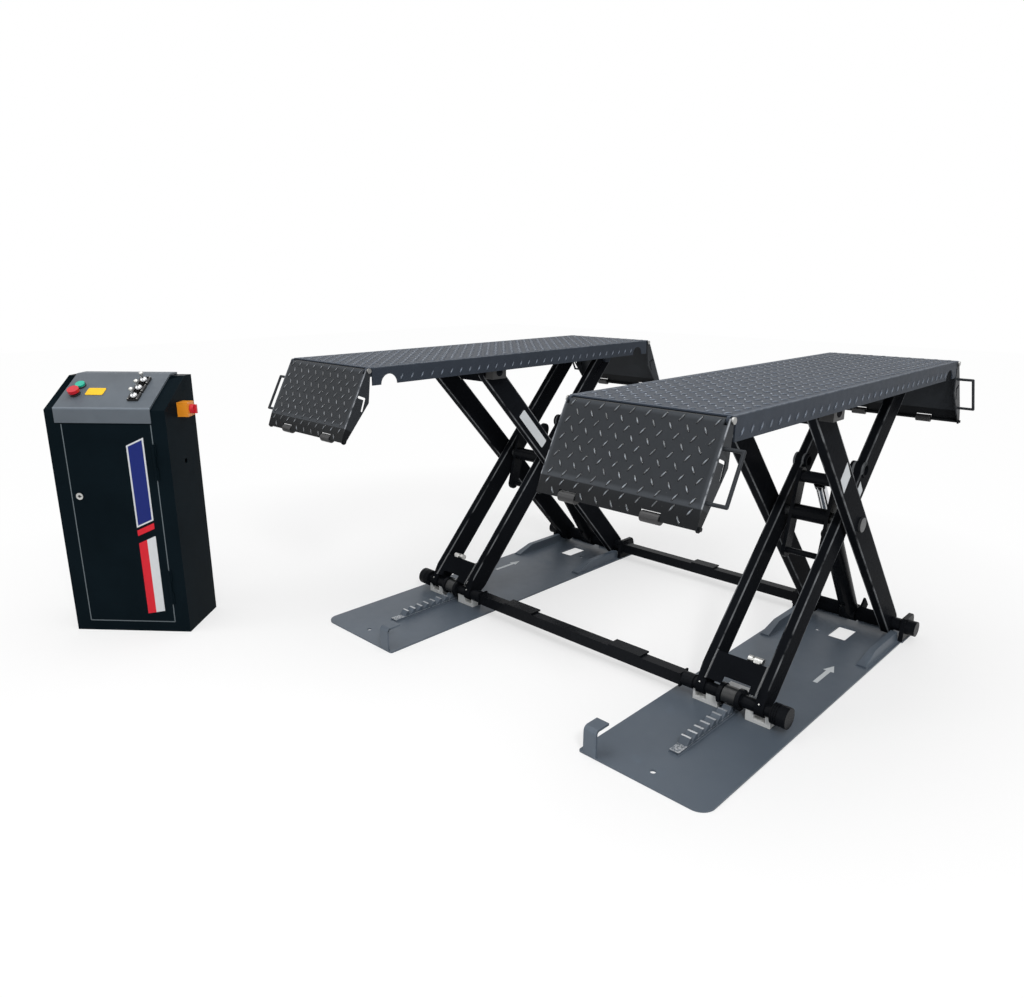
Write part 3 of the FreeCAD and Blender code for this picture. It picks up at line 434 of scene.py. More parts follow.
def tread_steel(name, colour, rough, shine, rub, edge, face):
    """Painted tread plate: lighter where feet and tyres rub, and pale along the edges of its face, partly
    chipped paint and partly a painted highlight where the bends catch the light.

    face is a place on the face, its normal, the way along it, and how far from the place it goes. Past
    that the sheet is bent away, and it is darkened there as painted shade.
    """
    paint = Finish(name)
    cloud = paint.noise(3.0, 4.0)
    rubbed = paint.noise(17.0, 6.0).between(0.48, 0.70) * cloud.between(0.35, 0.75)
    shade = paint.blend(cloud.between(0.3, 0.7), tone(colour, 0.9), tone(colour, 1.1))
    shade = paint.blend(rubbed * rub, shade, tone(colour, 1.9))
    start, normal, way, long = face
    along = paint.past(start, way)
    at_face = 1 - abs(paint.past(start, normal)).between(1 * MM, 3.5 * MM)
    to_side = abs(paint.beside() - DECK_HALF)
    to_edge = to_side.least(along.least(long - along))
    # Pale broken line along the side edges: chipped paint and a painted highlight
    chipped_and_highlight = at_face * (1 - to_side.between(1 * MM, 3.5 * MM)) * paint.noise(55.0, 3.0).between(0.35, 0.55)
    # Painted highlight: a lighter strip near the face's edges and ends, where the bends catch the light
    bend = at_face * (1 - to_edge.between(5 * MM, 12 * MM))
    shade = paint.blend(bend * 0.6, shade, tone(colour, 2.2))
    shade = paint.blend(chipped_and_highlight * edge, shade, (0.45, 0.47, 0.50))
    # Painted shade: the sheet past the bend is darkened
    bent_away_shade = along.between(long + 1 * MM, long + 4 * MM)
    shade = paint.blend(bent_away_shade * 0.85, shade, tone(colour, 0.2))
    speck = paint.spots(120.0, 0.10) * paint.noise(12.0).over(0.58)
    shade = paint.blend(speck * 0.3, shade, (0.35, 0.35, 0.34))
    paint.set(colour=shade, rough=paint.noise(60.0, 4.0) * 0.18 + (rough - 0.09), specular=shine)
    paint.bump(paint.noise(300.0, 3.0), 0.0003, 0.4)
    return paint.material


def tread_bars(name, colour, bright, rough, shine):
    """Raised bars of the tread plate: flanks in a copy of the plate's paint, and bright crowns, partly rubbed
    by tyres and partly painted glints.
    """
    bars = Finish(name)
    patch = bars.noise(60.0, 4.0)
    cloud = bars.noise(5.0, 3.0)
    # Bright crowns: rubbed paint and painted glints, strongest at the top of each bar
    rubbed = bars.rise().between(0.70, 0.95) * patch.between(0.30, 0.55) * cloud.between(0.20, 0.60)
    bars.set(colour=bars.blend(rubbed, colour, bright), rough=patch * 0.16 + (rough - 0.08), specular=shine)
    bars.bump(bars.noise(300.0, 3.0), 0.0002, 0.3)
    return bars.material


def hinge_rod(name, paint_colour, steel_colour):
    """The ramps' hinge pin: black between the decks' ears as painted shade, bright at its turned ends."""
    pin = Finish(name)
    # Painted shade: the pin is black where it lies hidden between deck and ramp
    bare = pin.beside().between(DECK_HALF - 1 * MM, DECK_HALF)
    lines = pin.noise(30.0, 3.0, place=pin.stretched((1.0, 40.0, 40.0)))
    steel = pin.blend(lines * 0.6, tone(steel_colour, 0.8), steel_colour)
    pin.set(colour=pin.blend(bare, paint_colour, steel), rough=lines * 0.1 + 0.28, metal=bare, specular=0.25)
    return pin.material


def pawl_steel(name, paint_colour, steel_colour):
    """The pawl: black on its collar round the shaft, bare and scuffed on the plate behind it."""
    pawl = Finish(name)
    bare = pawl.part("Y").between(SLIDER_Y + 18 * MM, SLIDER_Y + 20 * MM)
    scuff = pawl.noise(70.0, 4.0)
    steel = pawl.blend(scuff.between(0.35, 0.65), tone(steel_colour, 0.75), steel_colour)
    pawl.set(colour=pawl.blend(bare, paint_colour, steel), rough=scuff * 0.25 + 0.25, metal=bare * 0.3)
    return pawl.material


def rack_steel(name, colour):
    """The rack: base paint, pale on the crowns, most at the front, partly worn paint and partly a painted
    highlight on the lit tops, and rough bare on its tab.
    """
    rack = Finish(name)
    patch = rack.noise(160.0, 4.0)
    high = rack.part("Z")
    front = 1 - rack.part("Y").between(CROWN_PALEST_TO, CROWN_PLAIN_FROM) * 0.75
    # Pale crowns: worn paint and a painted highlight on the lit tops
    crown = high.between(CROWN_TOP - 1.2 * MM, CROWN_TOP - 0.4 * MM) * front
    tab = 1 - abs(high - TAB_TOP).between(0.4 * MM, 1.2 * MM)
    worn = (crown * patch.between(0.25, 0.45)).most(tab * patch.between(0.40, 0.60) * 0.7)
    cloud = rack.noise(30.0, 3.0)
    shade = rack.blend(cloud.between(0.3, 0.7), tone(colour, 0.7), tone(colour, 1.1))
    rack.set(colour=rack.blend(worn, shade, (0.62, 0.64, 0.66)), rough=0.5 - worn * 0.15, specular=0.3)
    rack.bump(patch, 0.0005, 0.4)
    return rack.material


def nylon(name, colour, rough):
    """Cut nylon: faint saw lines, and darker where grease has crept on."""
    plastic = Finish(name)
    lines = plastic.noise(9.0, 3.0, place=plastic.stretched((4.0, 4.0, 90.0)))
    grease = plastic.noise(16.0, 5.0).between(0.56, 0.75)
    shade = plastic.blend(lines * 0.5, tone(colour, 0.92), tone(colour, 1.05))
    shade = plastic.blend(grease * 0.55, shade, tone(colour, 0.35))
    plastic.set(colour=shade, rough=rough - grease * 0.15)
    plastic.bump(lines, 0.0004, 0.3)
    return plastic.material


def bare_metal(name, colour, rough, grain):
    """Turned or drawn metal with fine lines and a film of oil."""
    metal = Finish(name)
    lines = metal.noise(30.0, 3.0, place=metal.stretched(grain))
    stain = metal.noise(40.0, 4.0).between(0.5, 0.8)
    shade = metal.blend(lines * 0.6, tone(colour, 0.8), colour)
    shade = metal.blend(stain * 0.4, shade, tone(colour, 0.4))
    metal.set(colour=shade, rough=lines * 0.12 + stain * 0.15 + rough, metal=1.0)
    metal.bump(lines, 0.0001, 0.25)
    return metal.material


def moulded(name, colour, rough, shine=0.5):
    """Moulded plastic with a fine grain and a slight cloud."""
    plastic = Finish(name)
    cloud = plastic.noise(60.0, 3.0)
    shade = plastic.blend(cloud, tone(colour, 0.92), tone(colour, 1.05))
    plastic.set(colour=shade, rough=cloud * 0.1 + rough, specular=shine)
    plastic.bump(plastic.noise(900.0, 2.0), 0.0001, 0.2)
    return plastic.material


def powder_coat(name, colour, rough, shine, fold=None):
    """Fine powder coat of the cabinet, with faint hand marks and a painted highlight along a fold of the
    sheet.
    """
    paint = Finish(name)
    cloud = paint.noise(5.0, 3.0)
    marks = paint.noise(14.0, 6.0).between(0.55, 0.75)
    shade = paint.blend(cloud.between(0.3, 0.7), tone(colour, 0.85), tone(colour, 1.15))
    if fold:
        # Painted highlight: a paler line along the fold, where the bend catches the light
        away = abs(paint.past(fold, case_way(0, 1, 0))).most(abs(paint.part("Z") - fold.z))
        shade = paint.blend((1 - away.between(2 * MM, 6 * MM)) * 0.7, shade, tone(colour, 2.0))
    paint.set(colour=shade, rough=marks * 0.14 + (rough - 0.03), specular=shine)
    paint.bump(paint.noise(1100.0, 2.0), 0.00025, 0.4)
    return paint.material


def finishes():
    """All finishes, made once and kept by name."""
    if FINISH:
        return FINISH
    colours = bpy.context.scene.lift_colours
    arms, deck, ramp = colours.arm_paint, colours.deck_paint, colours.ramp_paint
    deck_face = (Vector((0, DECK_FRONT, DECK_TOP)), UP, REARWARD, DECK_LONG)
    for end in ENDS:
        start, down, out = ramp_frames("right", end)[:3]
        FINISH["ramp_paint_" + end] = tread_steel("ramp tread plate " + end, ramp, 0.38, 0.08, 0.20, 0.6,
                                                  (start, out, down, RAMP_LONG))
    FINISH.update({
        "arm_paint": painted("arm gloss black", arms, 0.27, 0.04, 0.15, 0.0004, 0.15),
        "inner_paint": painted("inner arm gloss black with painted corner highlights", arms, 0.27, 0.003, 0.15, 0.0004, 0.15,
                               (INNER_ARM, INNER_HALF, INNER_FACES)),
        "outer_paint": painted("outer arm gloss black with painted corner highlights", arms, 0.27, 0.003, 0.15, 0.0004, 0.15,
                               (OUTER_ARM, OUTER_HALF, OUTER_FACES)),
        "base_paint": painted("base blue-grey", colours.base_paint, 0.44, 0.35, 0.06, 0.0003, 0.12),
        "rack_paint": rack_steel("rack steel", colours.base_paint),
        "pawl_steel": pawl_steel("pawl steel", (0.010, 0.011, 0.012), (0.72, 0.73, 0.74)),
        "deck_paint": tread_steel("deck tread plate", deck, 0.50, 0.10, 0.30, 0.15, deck_face),
        # Painted light and shade: the deck's bars are a lighter copy of the deck's paint and the ramps' bars
        # a darker copy; their bright crowns are partly painted glints
        "deck_bars": tread_bars("deck tread bars with painted light and glints", tone(deck, 2.0), tone(deck, 8.0), 0.28, 0.50),
        "ramp_bars": tread_bars("ramp tread bars with painted shade and glints", tone(ramp, 0.6), tone(ramp, 12.0), 0.20, 0.60),
        "cabinet_paint": powder_coat("cabinet navy", colours.cabinet_paint, 0.34, 0.008),
        "hood_paint": powder_coat("hood grey with painted fold highlight", colours.hood_paint, 0.48, 0.20, panel_corner()),
        "hinge_rod": hinge_rod("hinge rod with painted shade", (0.010, 0.011, 0.012), (0.40, 0.40, 0.39)),
        # Painted glints: the weld beads are grey so that they read as lit beads on the black arms
        "weld_glint_paint": painted("weld with painted glints", (0.15, 0.155, 0.16), 0.26, 0.6, 0.5, 0.0003, 0.7),
        # Worn paint on the centre shaft's head, whose pale patches are also painted glints
        "shaft_wear_and_glints": painted("worn shaft head with painted glints", (0.040, 0.042, 0.045), 0.30, 0.3, 0.7, 0.0003, 1.0),
        "white_nylon": nylon("slide block nylon", colours.white_nylon, 0.5),
        "black_nylon": moulded("roller nylon", (0.014, 0.014, 0.015), 0.42),
        "black_plastic": moulded("black plastic", (0.012, 0.012, 0.013), 0.4),
        "green_plastic": moulded("green button", colours.green, 0.25),
        "red_plastic": moulded("red button", colours.red, 0.25),
        "yellow_plastic": moulded("orange switch", colours.orange, 0.35),
        "bright_steel": bare_metal("turned steel", (0.62, 0.62, 0.60), 0.22, (1.0, 40.0, 40.0)),
        "chrome_rod": bare_metal("chromed rod", (0.72, 0.73, 0.75), 0.06, (60.0, 2.0, 2.0)),
        "motor_iron": painted("motor iron", (0.12, 0.12, 0.13), 0.5, 0.3, 0.1, 0.0006, 0.1),
        "tank_paint": painted("tank black", (0.016, 0.016, 0.018), 0.42, 0.3, 0.1, 0.0004, 0.1),
        "mark_paint": painted("mark white", colours.mark_paint, 0.55, 0.3, 0.06, 0.0002, 0.05),
        "band_red": moulded("band red", tone(colours.red, 1.1), 0.3, 0.2),
        "band_blue": moulded("band blue", colours.blue, 0.3, 0.1),
        "band_grey": moulded("band light grey", (0.58, 0.60, 0.62), 0.35),
        "plate_yellow": moulded("blank plate yellow", colours.yellow, 0.35, 0.3),
        # Painted highlight: pale strips along the door's edges
        "seam": moulded("door edge highlight", (0.085, 0.108, 0.122), 0.4),
        # Painted shade: near-black for the inside of the keyway
        "keyway_shade": moulded("painted shade inside keyway", (0.004, 0.004, 0.004), 0.6),
    })
    return FINISH


FINISH = {}


def tree_of(name, inputs):
    """An empty Geometry Nodes tree with a Geometry input and output and the named inputs."""
    tree = bpy.data.node_groups.new(name, "GeometryNodeTree")
    tree.interface.new_socket("Geometry", in_out="INPUT", socket_type="NodeSocketGeometry")
    for label, kind in inputs:
        tree.interface.new_socket(label, in_out="INPUT", socket_type="NodeSocket" + kind)
    tree.interface.new_socket("Geometry", in_out="OUTPUT", socket_type="NodeSocketGeometry")
    return tree, tree.nodes.new("NodeGroupInput").outputs, tree.nodes.new("NodeGroupOutput").inputs


def add_node(tree, kind, settings, sockets):
    node = tree.nodes.new(kind)
    for key, value in settings.items():
        setattr(node, key, value)
    for key, value in sockets.items():
        if isinstance(value, bpy.types.NodeSocket):
            tree.links.new(value, node.inputs[key])
        else:
            node.inputs[key].default_value = value
    return node


def stud_tree():
    """Sets a scaled lens or drum on each point, turned as the point says, and makes it real."""
    if "studs" in TREES:
        return TREES["studs"]
    tree, given, result = tree_of("studs on points", (("Long", "Float"), ("Wide", "Float"), ("High", "Float"),
                                                      ("Sides", "Int"), ("Rings", "Int"), ("Drum", "Bool"),
                                                      ("Material", "Material")))
    lens = add_node(tree, "GeometryNodeMeshUVSphere", {},
                    {"Segments": given["Sides"], "Rings": given["Rings"], "Radius": 0.5})
    drum = add_node(tree, "GeometryNodeMeshCylinder", {"fill_type": "NGON"},
                    {"Vertices": given["Sides"], "Radius": 0.5, "Depth": 1.0})
    pick = add_node(tree, "GeometryNodeSwitch", {"input_type": "GEOMETRY"},
                    {"Switch": given["Drum"], "False": lens.outputs["Mesh"], "True": drum.outputs["Mesh"]})
    place = add_node(tree, "GeometryNodeInputPosition", {}, {})
    axes = add_node(tree, "ShaderNodeSeparateXYZ", {}, {"Vector": place.outputs["Position"]})
    rise = add_node(tree, "ShaderNodeMath", {"operation": "MULTIPLY"}, {0: axes.outputs["Z"], 1: 2.0})
    marked = add_node(tree, "GeometryNodeStoreNamedAttribute", {"data_type": "FLOAT", "domain": "POINT"},
                      {"Geometry": pick.outputs[0], "Name": "rise", "Value": rise.outputs[0]})
    size = add_node(tree, "ShaderNodeCombineXYZ", {},
                    {"X": given["Long"], "Y": given["Wide"], "Z": given["High"]})
    shaped = add_node(tree, "GeometryNodeTransform", {},
                      {"Geometry": marked.outputs["Geometry"], "Scale": size.outputs["Vector"]})
    turn = add_node(tree, "GeometryNodeInputNamedAttribute", {"data_type": "FLOAT_VECTOR"}, {"Name": "turn"})
    spin = add_node(tree, "FunctionNodeEulerToRotation", {}, {"Euler": turn.outputs["Attribute"]})
    put = add_node(tree, "GeometryNodeInstanceOnPoints", {},
                   {"Points": given["Geometry"], "Instance": shaped.outputs["Geometry"],
                    "Rotation": spin.outputs["Rotation"]})
    real = add_node(tree, "GeometryNodeRealizeInstances", {}, {"Geometry": put.outputs["Instances"]})
    done = add_node(tree, "GeometryNodeSetMaterial", {},
                    {"Geometry": real.outputs["Geometry"], "Material": given["Material"]})
    tree.links.new(done.outputs["Geometry"], result["Geometry"])
    TREES["studs"] = tree
    return tree


def edge_tree():
    """Joins a CAD node's loose triangles and shades them smooth up to the edges."""
    tree, given, result = tree_of("joined and shaded", (("Angle", "Float"),))
    whole = add_node(tree, "GeometryNodeMergeByDistance", {},
                     {"Geometry": given["Geometry"], "Distance": 0.02 * MM})
    smooth = add_node(tree, "GeometryNodeSetShadeSmooth", {"domain": "FACE"},
                      {"Geometry": whole.outputs["Geometry"], "Shade Smooth": True})
    angle = add_node(tree, "GeometryNodeInputMeshEdgeAngle", {}, {})
    sharp = add_node(tree, "FunctionNodeCompare", {"data_type": "FLOAT", "operation": "GREATER_THAN"},
                     {0: angle.outputs["Unsigned Angle"], 1: given["Angle"]})
    crisp = add_node(tree, "GeometryNodeSetShadeSmooth", {"domain": "EDGE"},
                     {"Geometry": smooth.outputs["Geometry"], "Selection": sharp.outputs["Result"],
                      "Shade Smooth": False})
    tree.links.new(crisp.outputs["Geometry"], result["Geometry"])
    return tree


TREES = {}


def socket_id(tree, label):
    for item in tree.interface.items_tree:
        if item.name == label and item.in_out == "INPUT":
            return item.identifier
    raise RuntimeError("no input named " + label)


def linked(name, mesh):
    piece = bpy.data.objects.new(name, mesh)
    bpy.context.scene.collection.objects.link(piece)
    return piece


def settle(piece, body):
    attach(piece, body)
    return piece


def studs(name, body, finish, spots, long, wide, high, sides=8, rings=4, drum=False):
    """One piece of repeated lenses or drums. spots is a list of places with their turning matrices."""
    seed = bpy.data.meshes.new(name + "_points")
    seed.from_pydata([at for at, turn in spots], [], [])
    turns = seed.attributes.new("turn", "FLOAT_VECTOR", "POINT")
    for index, (at, turn) in enumerate(spots):
        turns.data[index].vector = turn.to_euler()
    holder = linked(name + "_seed", seed)
    tree = stud_tree()
    modifier = holder.modifiers.new("studs", "NODES")
    modifier.node_group = tree
    for label, value in (("Long", long), ("Wide", wide), ("High", high), ("Sides", sides), ("Rings", rings),
                         ("Drum", drum), ("Material", finishes()[finish])):
        modifier[socket_id(tree, label)] = value
    graph = bpy.context.evaluated_depsgraph_get()
    graph.update()
    mesh = bpy.data.meshes.new_from_object(holder.evaluated_get(graph), depsgraph=graph)
    bpy.data.objects.remove(holder)
    for face in mesh.polygons:
        face.use_smooth = not drum
    return settle(linked(name, mesh), body)


def solid(name, outline, base, plane, thick, finish, body):
    """A flat plate of any outline. plane is the ways along the outline's two numbers, and its normal."""
    across, along, normal = plane
    form = bmesh.new()
    face = form.faces.new([form.verts.new(base + across * u + along * v) for u, v in outline])
    form.normal_update()
    if face.normal.dot(normal) > 0:
        face.normal_flip()
    lifted = bmesh.ops.extrude_face_region(form, geom=[face])
    for item in lifted["geom"]:
        if isinstance(item, bmesh.types.BMVert):
            item.co += normal * thick
    bmesh.ops.recalc_face_normals(form, faces=form.faces)
    mesh = bpy.data.meshes.new(name)
    form.to_mesh(mesh)
    form.free()
    mesh.materials.append(finishes()[finish])
    return settle(linked(name, mesh), body)


def round_outline(wide, high, corner, steps=5):
    """Outline of a rectangle with round corners, centred on zero."""
    points = []
    for cx, cy, start in ((1, 1, 0), (-1, 1, 90), (-1, -1, 180), (1, -1, 270)):
        for step in range(steps + 1):
            angle = math.radians(start + 90 * step / steps)
            points.append((cx * (wide / 2 - corner) + corner * math.cos(angle),
                           cy * (high / 2 - corner) + corner * math.sin(angle)))
    return points


def diamond(half_wide, half_high):
    """Outline of a standing diamond, centred on zero."""
    return ((0, half_high), (half_wide, 0), (0, -half_high), (-half_wide, 0))


def frame_of(long_way, normal):
    """Turning matrix whose X runs along long_way and whose Z is normal."""
    x = long_way.normalized()
    z = normal.normalized()
    return Matrix((x, z.cross(x), z)).transposed()


def seam(start, end):
    """Places of weld ripples along a straight seam."""
    way = end - start
    count = max(2, int(way.length / RIPPLE))
    turn = frame_of(way, UP)
    return [(start + way * (index / (count - 1)), turn) for index in range(count)]


def bead_piece(name, body, finish, spots, context):
    wide = 2 * context.scene.lift_sizes.bead
    return studs(name, body, finish, spots, wide, wide, wide, sides=6, rings=4)


def lattice(origin, across, along, wide, deep, pitch, edge, keep=lambda u, v: True):
    """Places of tread bars on a flat plate: rows in turn lean to either side."""
    normal = across.cross(along)
    spots = []
    half = pitch / 2
    rows = int((deep - 2 * edge) / half) + 1
    gap = (deep - (rows - 1) * half) / 2
    columns = int((wide - 2 * edge) / pitch)
    side_gap = (wide - columns * pitch) / 2
    for row in range(rows):
        lean, bars, shift = (1, columns + 1, 0) if row % 2 == 0 else (-1, columns, half)
        turn = frame_of(across * BAR_SLANT + along * lean, normal)
        for column in range(bars):
            u = side_gap + shift + column * pitch
            v = gap + row * half
            if keep(u, v):
                spots.append((origin + across * u + along * v, turn))
    return spots


def tread_piece(sheet, finish, spots, sizes):
    """The raised bars of one sheet, which ride on its body."""
    return studs(sheet + "_tread", sheet + "_body", finish, spots, sizes.bar_length, sizes.bar_width,
                 2 * sizes.bar_height)


# CAD nodes whose finish says more than their material slot
OWN_FINISH = {"_deck_hinge_pins": "hinge_rod", "_rack": "rack_paint", "_safety_pawl": "pawl_steel",
              "_top_slide_blocks": "black_nylon", "_inner_arms": "inner_paint", "_outer_arms": "outer_paint",
              "_centre_shaft": "shaft_wear_and_glints", "_front_ramp": "ramp_paint_front",
              "_rear_ramp": "ramp_paint_rear"}


class LIFT_OT_paint_nodes(bpy.types.Operator):
    """Give every CAD node its finish and its rounded, shaded edges"""

    bl_idname = "lift.paint_nodes"
    bl_label = "Paint the CAD nodes"

    def execute(self, context):
        slots = {item["node"]: item["material_slot"] for item in frame["record"]["subparts"]}
        tree = edge_tree()
        for name, node in NODES.items():
            finish = slots[name]
            for ending, other in OWN_FINISH.items():
                if name.endswith(ending):
                    finish = other
            node.data.materials.clear()
            node.data.materials.append(finishes()[finish])
            shade = node.modifiers.new("shade", "NODES")
            shade.node_group = tree
            shade[socket_id(tree, "Angle")] = math.radians(30)
            bevel = node.modifiers.new("edge", "BEVEL")
            bevel.width = context.scene.lift_sizes.edge
            bevel.segments = 2
            bevel.limit_method = "ANGLE"
            bevel.angle_limit = math.radians(40)
            bevel.harden_normals = True
        return {"FINISHED"}


def skirt_clear(u, v, inner):
    """Whether a bar on the skirt is low enough, and clear of the skirt's ends and notches."""
    if v < SKIRT_DEPTH / 2 or not SKIRT_END < u < DECK_LONG - SKIRT_END:
        return False
    up = SKIRT_DEPTH - SKIRT_START - v
    notches = (NOTCH_INSET, DECK_LONG - NOTCH_INSET) if inner else (DECK_LONG - NOTCH_INSET,)
    return all(math.hypot(u - notch, up) >= NOTCH_R + NOTCH_EDGE for notch in notches)


class LIFT_OT_deck_tread(bpy.types.Operator):
    """Raise the bars of the decks' tread plate, on the top and the skirts"""

    bl_idname = "lift.deck_tread"
    bl_label = "Deck tread"

    def execute(self, context):
        sizes = context.scene.lift_sizes
        pitch = sizes.tread_pitch
        for side in SIDES:
            origin = Vector((SIDE_X[side] - DECK_HALF, DECK_FRONT, DECK_TOP))
            spots = lattice(origin, ACROSS, REARWARD, 2 * DECK_HALF, DECK_LONG, pitch, DECK_EDGE)
            for way in (1, -1):
                inner = way != OUTWARD[side]
                start = Vector((SIDE_X[side] + way * DECK_HALF, DECK_FRONT, DECK_TOP - SKIRT_START))
                skirt = lattice(start, REARWARD, -UP, DECK_LONG, SKIRT_DEPTH - SKIRT_EDGE, pitch, SKIRT_EDGE,
                                lambda u, v: skirt_clear(u, v, inner))
                spots += [(at, frame_of(turn.col[0], ACROSS * way)) for at, turn in skirt]
            tread_piece(side + "_deck", "deck_bars", spots, sizes)
        return {"FINISHED"}


def ramp_frames(side, end):
    """A ramp's face as its start, the way down and the way out, then its bend and the way down its lip."""
    sign = -1 if end == "front" else 1
    hinge_y = HINGE_Y if end == "front" else DECK_FRONT + DECK_REAR - HINGE_Y
    down = Vector((0, sign * math.sin(RAMP_LEAN), -math.cos(RAMP_LEAN)))
    out = Vector((0, sign * math.cos(RAMP_LEAN), math.sin(RAMP_LEAN)))
    lip_down = Vector((0, sign * math.sin(LIP_LEAN), -math.cos(LIP_LEAN)))
    start = Vector((SIDE_X[side], hinge_y, HINGE_Z)) + out * RAMP_FACE
    return start, down, out, start + down * RAMP_LONG, lip_down


def off_rollers(side, x, v):
    """Whether a bar on the lip, x across from its middle and v down, is clear of the rollers."""
    near = [abs(x - OUTWARD[side] * spot) < ROLLER_EDGE for spot in ROLLER_SPOTS]
    return v < ROLLER_TOP or not any(near)


class LIFT_OT_ramp_tread(bpy.types.Operator):
    """Raise the bars of the ramps' tread plate, on the faces and the lips"""

    bl_idname = "lift.ramp_tread"
    bl_label = "Ramp tread"

    def execute(self, context):
        sizes = context.scene.lift_sizes
        pitch = sizes.tread_pitch
        for side in SIDES:
            for end in ENDS:
                start, down, out, bend, lip_down = ramp_frames(side, end)
                across = down.cross(out)
                edge = across * DECK_HALF
                spots = lattice(start - edge, across, down, 2 * DECK_HALF, RAMP_LONG, pitch, RAMP_EDGE)
                spots += lattice(bend - edge, across, lip_down, 2 * DECK_HALF, LIP_LONG, pitch, LIP_EDGE,
                                 lambda u, v: off_rollers(side, across.x * (u - DECK_HALF), v))
                tread_piece(side + "_" + end + "_ramp", "ramp_bars", spots, sizes)
        return {"FINISHED"}


def side_point(side, x, y, z):
    return Vector((SIDE_X[side] + OUTWARD[side] * x, PIVOT.y + y, z))


def base_seams(side):
    """Weld ripples of the curbs, the rack, the foot stop and the rear bearings of one side."""
    lines = []
    for sign in (1, -1):
        lines += [(sign * x, CURB_SPAN) for x in CURB_LINES]
        lines += [(sign * x, BEARING_SPAN) for x in BEARING_LINES]
    lines += [(x, RACK_SPAN) for x in RACK_LINES]
    lines += [(x, STOP_SPAN) for x in STOP_LINES]
    beads = seam(*(side_point(side, x, STOP_SPAN[1], PLATE_TOP) for x in STOP_LINES))
    for x, span in lines:
        beads += seam(*(side_point(side, x, y, PLATE_TOP) for y in span))
    return beads


class LIFT_OT_base_marks(bpy.types.Operator):
    """Paint the direction arrows on the base plates and add the welds of what stands on them"""

    bl_idname = "lift.base_marks"
    bl_label = "Base plate marks"

    def execute(self, context):
        half, head = ARROW_SHAFT_HALF, ARROW_HEAD_HALF
        outline = ((-half, ARROW_TAIL), (half, ARROW_TAIL), (half, ARROW_NECK), (head, ARROW_NECK),
                   (0, ARROW_TIP), (-head, ARROW_NECK), (-half, ARROW_NECK))
        for side in SIDES:
            solid(side + "_arrow", outline, side_point(side, ARROW_X, 0, PLATE_TOP), (ACROSS, REARWARD, UP),
                  MARK_THICK, "mark_paint", "root")
        beads = base_seams("right") + base_seams("left")
        bead_piece("base_welds", "root", "base_paint", beads, context)
        return {"FINISHED"}


def arm_ways(arm):
    """The ways along an arm and up across it."""
    angle = arm[1]
    return Vector((0, math.cos(angle), math.sin(angle))), Vector((0, -math.sin(angle), math.cos(angle)))


def on_arm(side, arm, along, up, x):
    """A place on an arm: along it from its lower shaft, up across it, at x from the side's middle."""
    way, over = arm_ways(arm)
    return Vector((SIDE_X[side] + OUTWARD[side] * x, 0, 0)) + arm[0] + way * along + over * up


def inner_seams(side):
    """Weld ripples along and across the ends of the inner arms' cross plate."""
    near, far = INNER_CROSS
    beads = []
    for x in (INNER_FACES[0], -INNER_FACES[0]):
        corner = on_arm(side, INNER_ARM, far, INNER_CROSS_UP, x)
        beads += seam(on_arm(side, INNER_ARM, near, INNER_CROSS_UP, x), corner)
        beads += seam(on_arm(side, INNER_ARM, far, INNER_CROSS_FOOT, x), corner)
    return beads


def outer_seams(side):
    """Weld ripples along the outer arms' cross plate."""
    beads = []
    for x in (OUTER_FACES[0], -OUTER_FACES[0]):
        beads += seam(*(on_arm(side, OUTER_ARM, along, OUTER_CROSS_UP, x) for along in OUTER_CROSS))
    return beads


def blank_plates(side):
    """Pair of arms, place, outline and plane of each blank plate on one side."""
    if side == "left":
        return (("_outer", on_arm(side, OUTER_ARM, STRIP_AT, 0, -OUTER_FACES[1]),
                 round_outline(STRIP_LONG, STRIP_WIDE, STRIP_CORNER), (*arm_ways(OUTER_ARM), ACROSS)),)
    standing = (REARWARD, UP, ACROSS)
    return (("_outer", on_arm(side, OUTER_ARM, OUTER_BLANK_AT, 0, OUTER_FACES[1]), diamond(*OUTER_DIAMOND),
             standing),
            ("_inner", on_arm(side, INNER_ARM, INNER_BLANK_AT, 0, INNER_FACES[1]), diamond(*INNER_DIAMOND),
             standing))


class LIFT_OT_arm_details(bpy.types.Operator):
    """Add the welds of the arms' cross plates, the blank plates and the grease nipples"""

    bl_idname = "lift.arm_details"
    bl_label = "Arm details"

    def execute(self, context):
        way, over = arm_ways(INNER_ARM)
        for side in SIDES:
            for pair, beads in (("_inner", inner_seams(side)), ("_outer", outer_seams(side))):
                bead_piece(side + pair + "_arm_welds", side + pair, "weld_glint_paint", beads, context)
            for pair, place, outline, plane in blank_plates(side):
                solid(side + pair + "_blank", outline, place + ACROSS * BLANK_LIFT, plane, MARK_THICK,
                      "mark_paint", side + pair)
            nipples = [(on_arm(side, INNER_ARM, 0, NIPPLE_UP, x), frame_of(way, over))
                       for x in (NIPPLE_X, -NIPPLE_X)]
            studs(side + "_grease_nipples", side + "_inner", "bright_steel", nipples,
                  NIPPLE_WIDE, NIPPLE_WIDE, NIPPLE_HIGH, sides=8, drum=True)
        return {"FINISHED"}


def case_way(x, y, z):
    """x along the cabinet's width, y into its depth and z up."""
    return Matrix.Rotation(CASE_YAW, 3, "Z") @ Vector((x, y, z))


def panel_ways():
    """The ways across the hood's panel, up its slope and out of it."""
    return (case_way(1, 0, 0), case_way(0, math.cos(SLOPE), math.sin(SLOPE)),
            case_way(0, -math.sin(SLOPE), math.cos(SLOPE)))


def panel_corner():
    """The lower left corner of the face of the hood's panel."""
    return CASE_AT + UP * CASE_FRONT + panel_ways()[2] * PANEL_LIFT


